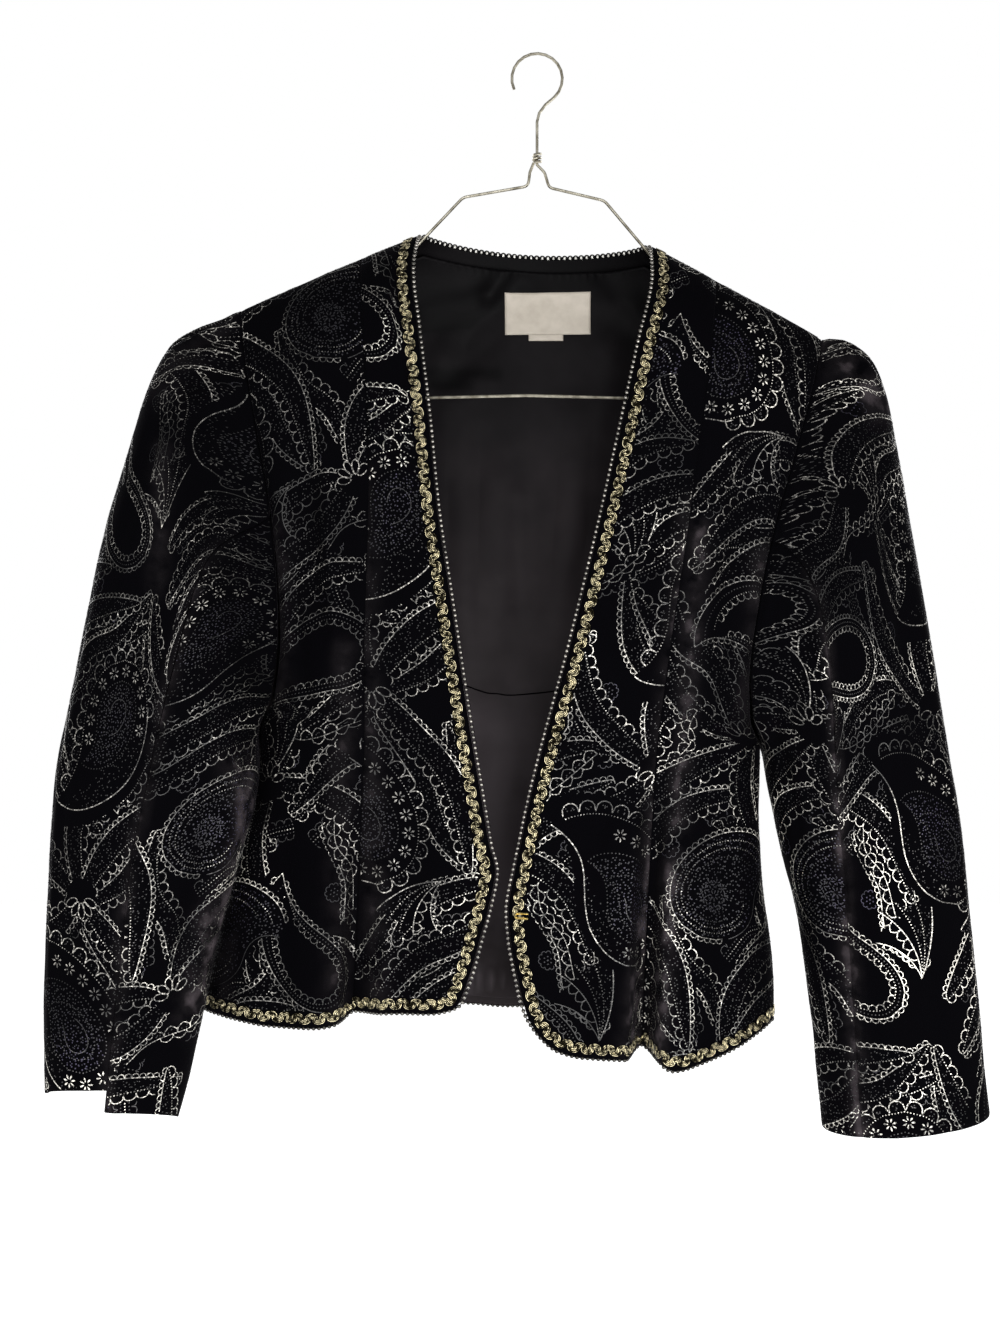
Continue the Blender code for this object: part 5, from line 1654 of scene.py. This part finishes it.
# %% [markdown]
# Scroll gimp is a flat bundle of gold-wrapped cords that is led to and fro in round lobes. Four cords run side
# by side along one winding line, so each lobe shows four nested arcs with dark gaps. Each cord is a curve with
# a round bevel.

# %% Cords of the gimp
SCROLL_PITCH = 9.7
SCROLL_HALF = 2.0
SCROLL_SWELL = 0.95
SCROLL_STEPS = 24
CORD_OFFSETS = (-1.59, -0.53, 0.53, 1.59)
CORD_RADIUS = 0.36
CORD_STEP = 0.9
PATH_STEP = 0.4
CORNER_ROUNDS = 60
BRAID_LIFT = 0.62


def evened(points, normals):
    """A path at a fine even pitch with its outward directions, and with its corners rounded off."""
    both = walk(np.concatenate([points, normals], axis=1), PATH_STEP)
    for _ in range(CORNER_ROUNDS):
        both[1:-1] = (both[:-2] + 2 * both[1:-1] + both[2:]) / 4
    return both[:, :3], unit(both[:, 3:])


def gimp_cords(points, normals):
    """Paths of the four cords of a scroll braid along a path."""
    sideways = np.cross(normals, unit(np.gradient(points, axis=0)))
    run = np.concatenate([[0.0], np.cumsum(np.linalg.norm(np.diff(points, axis=0), axis=1))])
    turns = int(run[-1] / SCROLL_PITCH)
    phase = np.linspace(0, 2 * pi * turns, SCROLL_STEPS * turns + 1)
    flat = np.column_stack([phase / (2 * pi * turns) * run[-1] - SCROLL_SWELL * np.sin(2 * phase),
                            SCROLL_HALF * np.sin(phase)])
    paths = []
    for offset in CORD_OFFSETS:
        cord = walk(flat + beside(flat) * offset, CORD_STEP)
        at = np.clip(cord[:, 0], 0.0, run[-1])
        base, away, across = (np.column_stack([np.interp(at, run, column) for column in grid.T])
                              for grid in (points, normals, sideways))
        paths.append(base + across * cord[:, 1:] + away * BRAID_LIFT)
    return paths


def cord_mesh(name, paths, radius):
    """Round cords along paths of jacket points, joined in one mesh."""
    curve = bpy.data.curves.new(name, "CURVE")
    curve.dimensions = "3D"
    curve.bevel_depth = radius * MM
    curve.bevel_resolution = 0
    curve.use_fill_caps = True
    for path in paths:
        spline = curve.splines.new("POLY")
        spline.points.add(len(path) - 1)
        spline.points.foreach_set("co", np.pad(world(path), ((0, 0), (0, 1)), constant_values=1.0).ravel())
    guide = bpy.data.objects.new(name, curve)
    bpy.context.collection.objects.link(guide)
    mesh = bpy.data.meshes.new_from_object(guide.evaluated_get(bpy.context.evaluated_depsgraph_get()))
    bpy.data.objects.remove(guide)
    bpy.data.curves.remove(curve)
    mesh.name = name
    mesh.shade_smooth()
    return mesh


def gimp_finish():
    material, tree, shader = new_finish("gimp_gold", (0.36, 0.29, 0.13), 0.34, 0.9)
    paint(tree, shader, object_noise(tree, 420.0, 2.0),
          (0.435, (0.012, 0.009, 0.003)), (0.605, (0.88, 0.78, 0.50)))
    add_bump(tree, shader, object_noise(tree, 2600.0), 0.5, 0.0003)
    return material


gimp = gimp_finish()
print("cords in the gimp:", len(CORD_OFFSETS))

# %% [markdown]
# The braid is sewn about six millimetres from the edge, from the shoulder down the front, round the lower
# corner and along the hem. A column of the grid would come too near the edge in the corner, so the edge itself
# is moved inwards and laid back on the cloth.

# %% Gimp along the edges
CORNER_REACH = 40.0
CORNER_SLACK = 0.5
EDGE_SKIP = 3


def joined(*parts):
    """Paths that follow one another, without the doubled points between them."""
    return [np.concatenate(column) for column in zip(*parts)]


def edge_run(panel, rows, columns):
    return panel.points[rows, columns], panel.normals[rows, columns]


def inset_run(front):
    """Path of the trim's middle inside a front edge, round its corner and along the hem's trim row."""
    edge, away = evened(*joined(edge_run(front, slice(0, -1), 0), edge_run(front, -1, slice(None))))
    inward = np.cross(away, unit(np.gradient(edge, axis=0)))
    start = len(edge) // 4
    row = np.argmin(np.linalg.norm(front.points[:, 0] - edge[start], axis=1))
    if inward[start] @ (front.points[row, TRIM_COLUMN] - edge[start]) < 0:
        inward = -inward
    corner = front.points[-1, 0]
    stop = np.argmin(np.linalg.norm(edge - corner, axis=1)) + int(CORNER_REACH / PATH_STEP)
    corners = flat_corners(front).tolist()
    tree = BVHTree.FromPolygons(front.points.reshape(-1, 3).tolist(), corners, all_triangles=True)
    inset = np.array([tree.find_nearest(point)[0] for point in (edge + inward * TRIM_MIDDLE)[:stop].tolist()])
    gaps = np.linalg.norm(inset[:, None] - edge[None, ::EDGE_SKIP], axis=2)
    clear = gaps.min(axis=1) > TRIM_MIDDLE - CORNER_SLACK
    far = np.linalg.norm(front.points[TRIM_ROW] - corner, axis=1) > CORNER_REACH + TRIM_MIDDLE
    return joined((inset[clear], away[:stop][clear]), edge_run(front, TRIM_ROW, far))


neck = slice(NECK_FIRST, NECK_LAST + 1)
below_neck = back.flat[0, neck, 1] - back.flat[:, neck, 1]
neck_rows = np.argmin(np.abs(below_neck - TRIM_MIDDLE), axis=0)
braid_runs = {
    "braid_back_hem": edge_run(back, TRIM_ROW, slice(None)),
    "braid_neck": edge_run(back, neck_rows, range(NECK_FIRST, NECK_LAST + 1)),
}
for side in ("left", "right"):
    front, side_front = panels["front_" + side], panels["side_front_" + side]
    braid_runs["braid_front_" + side] = inset_run(front)
    braid_runs["braid_side_" + side] = edge_run(side_front, TRIM_ROW, slice(None))
for name, run in braid_runs.items():
    path = evened(*run)
    mesh = cord_mesh(name + "_gimp", gimp_cords(*path), CORD_RADIUS)
    mesh.materials.append(gimp)
    link(name + "_gimp", mesh, "gimp", name)
    print(name, "length mm", round(len(path[0]) * PATH_STEP), "faces", len(mesh.polygons))

# %% [markdown]
# A string of round pewter-coloured beads edges the neck, the fronts and the hem. Each bead is a ball of
# eighty faces on a dark thread. The beads are a little uneven in size, as pressed glass beads are. At the back
# neck they are smaller, and each sits before a dark knot of the thread; their finish there is a paler copy of the
# pewter one, a painted highlight. Towards the hem the beads are darker, with painted shade.

# %% Bead edging
BEAD_RADIUS = 1.5
BEAD_UNEVEN = 0.06
Beading = namedtuple("Beading", "pitch thread end_clear knots")
EDGE_BEADING = Beading(3.7, 0.35, 1.5, False)
NECK_BEADING = Beading(4.05, 1.1, 5.5, True)
NECK_BEAD_TUCK = 0.9
NECK_BEAD_SHARE = 0.8
KNOT_RADIUS = 2.3
KNOT_BEHIND = np.array((0.0, 1.6, 0.1))
BALL_ROUNDS = 2
END_STEP = 0.5
HEM_BEAD_TUCK = 1.4
TUCK_TOP = -535.0
TUCK_RUN = 25.0
# Heights over which the beads grow darker towards the hem: painted shade.
BEAD_SHADE_HEIGHTS = (-0.655, -0.685)
bead_chance = random.Random(5)


def beside_edge(points, inner_points, normals, tucked):
    """Path of bead middles beside a free edge, clear of the cloth or tucked in under it."""
    along = unit(np.gradient(points, axis=0))
    away = points - inner_points
    away -= along * (away * along).sum(axis=1, keepdims=True)
    return points - normals * (VELVET_WALL / 2) + unit(away) * (BEAD_RADIUS + SEAM_GAP - tucked)


def trimmed(path, clear):
    """A path with both ends drawn in."""
    fine = walk(path, END_STEP)
    spare = int(round(clear / END_STEP))
    return fine[spare:len(fine) - spare]


def add_ball(form, place, radius):
    bmesh.ops.create_icosphere(form, subdivisions=BALL_ROUNDS, radius=radius * MM,
                               matrix=Matrix.Translation(place))


def bead_mesh(name, path, beading):
    form = bmesh.new()
    thread = cord_mesh(name + "_thread", [walk(path, beading.pitch / 2)], beading.thread)
    form.from_mesh(thread)
    bpy.data.meshes.remove(thread)
    places = walk(path, beading.pitch)
    for place in world(places + KNOT_BEHIND) if beading.knots else ():
        add_ball(form, place, KNOT_RADIUS)
    for face in form.faces:
        face.material_index = 1
    share = NECK_BEAD_SHARE if beading.knots else 1.0
    for place in world(places):
        add_ball(form, place, BEAD_RADIUS * share * (1 + bead_chance.uniform(-BEAD_UNEVEN, 0)))
    mesh = bpy.data.meshes.new(name)
    form.to_mesh(mesh)
    form.free()
    mesh.shade_smooth()
    return mesh, len(places)


def bead_finish(name, metallic, dim, middle, lit):
    material, tree, shader = new_finish(name, lit, 0.15, metallic)
    # Darker towards the hem: painted shade.
    painted_shade_low = colour_ramp(tree, height_share(tree, *BEAD_SHADE_HEIGHTS), (0.0, (1.0,) * 3), (1.0, (0.3,) * 3))
    tone = combine(tree, "MULTIPLY", object_noise(tree, 190.0, 1.0), painted_shade_low)
    paint(tree, shader, tone, (0.1, dim), (0.3, middle), (0.7, lit))
    return material


pewter = bead_finish("bead_pewter", 1.0, (0.03, 0.028, 0.025), (0.12, 0.115, 0.105), (0.34, 0.32, 0.29))
# The neck beads get a paler copy of the pewter finish: a painted highlight.
lit_beads = bead_finish("bead_pewter_lit", 0.0, (0.30, 0.29, 0.26), (0.44, 0.43, 0.39), (0.82, 0.81, 0.76))
bead_runs = {
    "bead_back_hem": beside_edge(back.points[-1], back.points[-2], back.normals[-1], HEM_BEAD_TUCK),
    "bead_neck": beside_edge(back.points[0, neck], back.points[1, neck], back.normals[0, neck], NECK_BEAD_TUCK),
}
for side in ("left", "right"):
    front, side_front = panels["front_" + side], panels["side_front_" + side]
    tucked = HEM_BEAD_TUCK * ease((TUCK_TOP - front.points[:, :1, 2]) / TUCK_RUN)
    down = beside_edge(front.points[:, 0], front.points[:, 1], front.normals[:, 0], tucked)
    along = beside_edge(*(np.concatenate([a[row, :-1], b[row]]) for a, b, row in (
        (front.points, side_front.points, -1), (front.points, side_front.points, -2),
        (front.normals, side_front.normals, -1))), tucked=HEM_BEAD_TUCK)
    bead_runs["bead_front_" + side] = np.concatenate([down[:-1], along[1:]])
for name, path in bead_runs.items():
    beading = NECK_BEADING if name == "bead_neck" else EDGE_BEADING
    mesh, count = bead_mesh(name + "_beads", trimmed(path, beading.end_clear), beading)
    mesh.materials.append(lit_beads if beading.knots else pewter)
    mesh.materials.append(satin)
    link(name + "_beads", mesh, "bead", name)
    print(name, "beads", count, "faces", len(mesh.polygons))

# %% [markdown]
# A woven label and a small tab are sewn inside the back neck. They stay blank. Each is a fine grid laid on
# the lining by casting rays from the front, so it follows the folds under it. A dark thread laid in the same
# way marks the curved seam across the waist of the lining.

# %% Neck label and tab
LABEL_LIFT = 0.4
LABEL_WALL = 0.8
Patch = namedtuple("Patch", "name right down width height columns rows")
PATCHES = (Patch("neck_label", 0.0, 0.0, 62.5, 30.5, 30, 16), Patch("size_tab", -1.3, 17.4, 25.3, 4.8, 14, 4))
LABEL_MIDDLE = np.array((12.0, -46.2))
LABEL_TURN = radians(3.0)
LINING_SEAM = ((-60, -312), (-24, -324), (-11, -325.5), (4, -325.6), (45, -318.5), (80, -306))
SEAM_THREAD = 0.55
RAY_START = -200.0
lining_panel = Panel(lining_points, None, lining_points[..., :2])
lining_tree = BVHTree.FromPolygons(lining_points.reshape(-1, 3).tolist(), flat_corners(lining_panel).tolist())


def on_lining(x, z, lift):
    """A point of the lining's face, seen from the front at x and z."""
    hit = lining_tree.ray_cast((x, RAY_START, z), (0.0, 1.0, 0.0))
    return np.array(hit[0]) - np.array((0.0, lift, 0.0))


def patch_points(patch, lift):
    """A level patch beside the middle of the label, laid on the leaning lining."""
    right, up = np.array((cos(LABEL_TURN), sin(LABEL_TURN))), np.array((-sin(LABEL_TURN), cos(LABEL_TURN)))
    return np.array([[on_lining(*(LABEL_MIDDLE + right * (patch.right + x) - up * (patch.down + z)), lift)
                      for x in np.linspace(-patch.width / 2, patch.width / 2, patch.columns + 1)]
                     for z in np.linspace(-patch.height / 2, patch.height / 2, patch.rows + 1)])


def label_finish():
    material, tree, shader = new_finish("label_weave", (0.45, 0.40, 0.34), 0.6)
    paint(tree, shader, object_noise(tree, 130.0, 3.0), (0.3, (0.37, 0.33, 0.275)), (0.7, (0.44, 0.395, 0.335)))
    shader.inputs["Sheen Weight"].default_value = 0.2
    add_bump(tree, shader, object_noise(tree, 1800.0), 0.3, 0.0003)
    return material


weave = label_finish()
for patch in PATCHES:
    points = patch_points(patch, LABEL_LIFT + LABEL_WALL)
    mesh = grid_mesh(patch.name + "_woven", points, np.broadcast_to(TOWARDS[FRONT], points.shape))
    mesh.materials.append(weave)
    add_wall(link(patch.name + "_woven", mesh, "label", patch.name), LABEL_WALL)
    print(patch.name, "faces", len(mesh.polygons))
seam_path = np.array([on_lining(x, z, 0.0) for x, z in smooth_path(LINING_SEAM)])
seam_mesh = cord_mesh("lining_seam", [seam_path], SEAM_THREAD)
seam_mesh.materials.append(velvet)
link("lining_seam", seam_mesh, "satin")
print("lining seam points:", len(seam_path))

# %% [markdown]
# The front hook and the hanger are bent from brass-coloured wire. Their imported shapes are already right, so
# they only get a finish with faint drawn marks along the wire.

# %% Brass wire
def wire_finish(name, dim, lit):
    material, tree, shader = new_finish(name, lit, 0.3, 1.0)
    paint(tree, shader, object_noise(tree, 160.0, 4.0), (0.3, dim), (0.7, lit))
    add_bump(tree, shader, object_noise(tree, 900.0), 0.12, 0.0003)
    return material


for name, dim, lit in (
    ("hanger", (0.20, 0.18, 0.135), (0.64, 0.605, 0.50)),
    ("front_hook", (0.60, 0.44, 0.14), (0.98, 0.80, 0.36)),
):
    node = frame["nodes"][name]
    node.data.materials.clear()
    node.data.materials.append(wire_finish(name + "_brass", dim, lit))
print("brass pieces:", "hanger", "front_hook")

# %% [markdown]
# The side of each panel is read from the end of its name.


for name, panel in panels.items():
    side = name.rsplit("_", 1)[-1]

# %% [markdown]
# A studio photograph of clothing is lit by large soft boxes against white. A wide key light stands low in
# front on the right with a small one below it, a weaker one on the left, and two at the back keep the other
# sides from going black. The floor is pale and plain.

# %% Floor, light and camera
FLOOR_HEIGHT = -1.25
FLOOR_HALF = 6.0
FLOOR_GLOW = 0.7
ROOM_GLOW = 0.5
SoftBox = namedtuple("SoftBox", "name place size power")
LIGHTS = (
    SoftBox("key", (0.6, -2.4, -0.8), 1.1, 34.0),
    SoftBox("fill", (-1.3, -2.2, -0.5), 1.3, 18.0),
    SoftBox("low_side", (1.1, -1.1, -1.0), 0.6, 7.0),
    SoftBox("back_left", (1.6, 2.2, 0.5), 1.6, 26.0),
    SoftBox("back_right", (-1.6, 2.2, 0.3), 1.6, 24.0),
)
AIM = Vector((0.0, 0.0, -0.42))
CAMERA_PLACE = (-0.0265, -1.6, -0.4361)
LENS = 80.56


def floor_finish():
    material, tree, shader = new_finish("floor_paper", (0.86, 0.86, 0.86), 0.9)
    paint(tree, shader, object_noise(tree, 2.0), (0.3, (0.84, 0.84, 0.84)), (0.7, (0.88, 0.88, 0.88)))
    shader.inputs["Emission Color"].default_value = (1.0, 1.0, 1.0, 1.0)
    shader.inputs["Emission Strength"].default_value = FLOOR_GLOW
    return material


form = bmesh.new()
bmesh.ops.create_grid(form, x_segments=1, y_segments=1, size=FLOOR_HALF,
                      matrix=Matrix.Translation((0.0, 0.0, FLOOR_HEIGHT)))
floor_mesh = bpy.data.meshes.new("floor")
form.to_mesh(floor_mesh)
form.free()
floor_mesh.materials.append(floor_finish())
floor = bpy.data.objects.new("floor", floor_mesh)
bpy.context.collection.objects.link(floor)

for name, place, size, power in LIGHTS:
    lamp = bpy.data.lights.new(name, "AREA")
    lamp.size = size
    lamp.energy = power
    light = bpy.data.objects.new(name, lamp)
    light.location = place
    light.rotation_euler = (AIM - Vector(place)).to_track_quat("-Z", "Y").to_euler()
    bpy.context.collection.objects.link(light)

scene = bpy.context.scene
scene.view_settings.view_transform = "Standard"
scene.world = bpy.data.worlds.new("white_room")
scene.world.use_nodes = True
room = scene.world.node_tree
backdrop, bright = room.nodes["Background"], room.nodes.new("ShaderNodeBackground")
for node, strength in ((backdrop, ROOM_GLOW), (bright, 1.0)):
    node.inputs["Color"].default_value = (1.0, 1.0, 1.0, 1.0)
    node.inputs["Strength"].default_value = strength
seen = room.nodes.new("ShaderNodeLightPath")
choose = room.nodes.new("ShaderNodeMixShader")
room.links.new(seen.outputs["Is Camera Ray"], choose.inputs[0])
room.links.new(backdrop.outputs[0], choose.inputs[1])
room.links.new(bright.outputs[0], choose.inputs[2])
room.links.new(choose.outputs[0], room.nodes["World Output"].inputs["Surface"])

lens = bpy.data.cameras.new("camera")
lens.sensor_fit = "HORIZONTAL"
lens.sensor_width = 36.0
lens.lens = LENS
camera = bpy.data.objects.new("camera", lens)
camera.location = CAMERA_PLACE
camera.rotation_euler = (pi / 2, 0.0, 0.0)
bpy.context.collection.objects.link(camera)
scene.camera = camera
print("lights:", [box.name for box in LIGHTS], "camera at", CAMERA_PLACE)
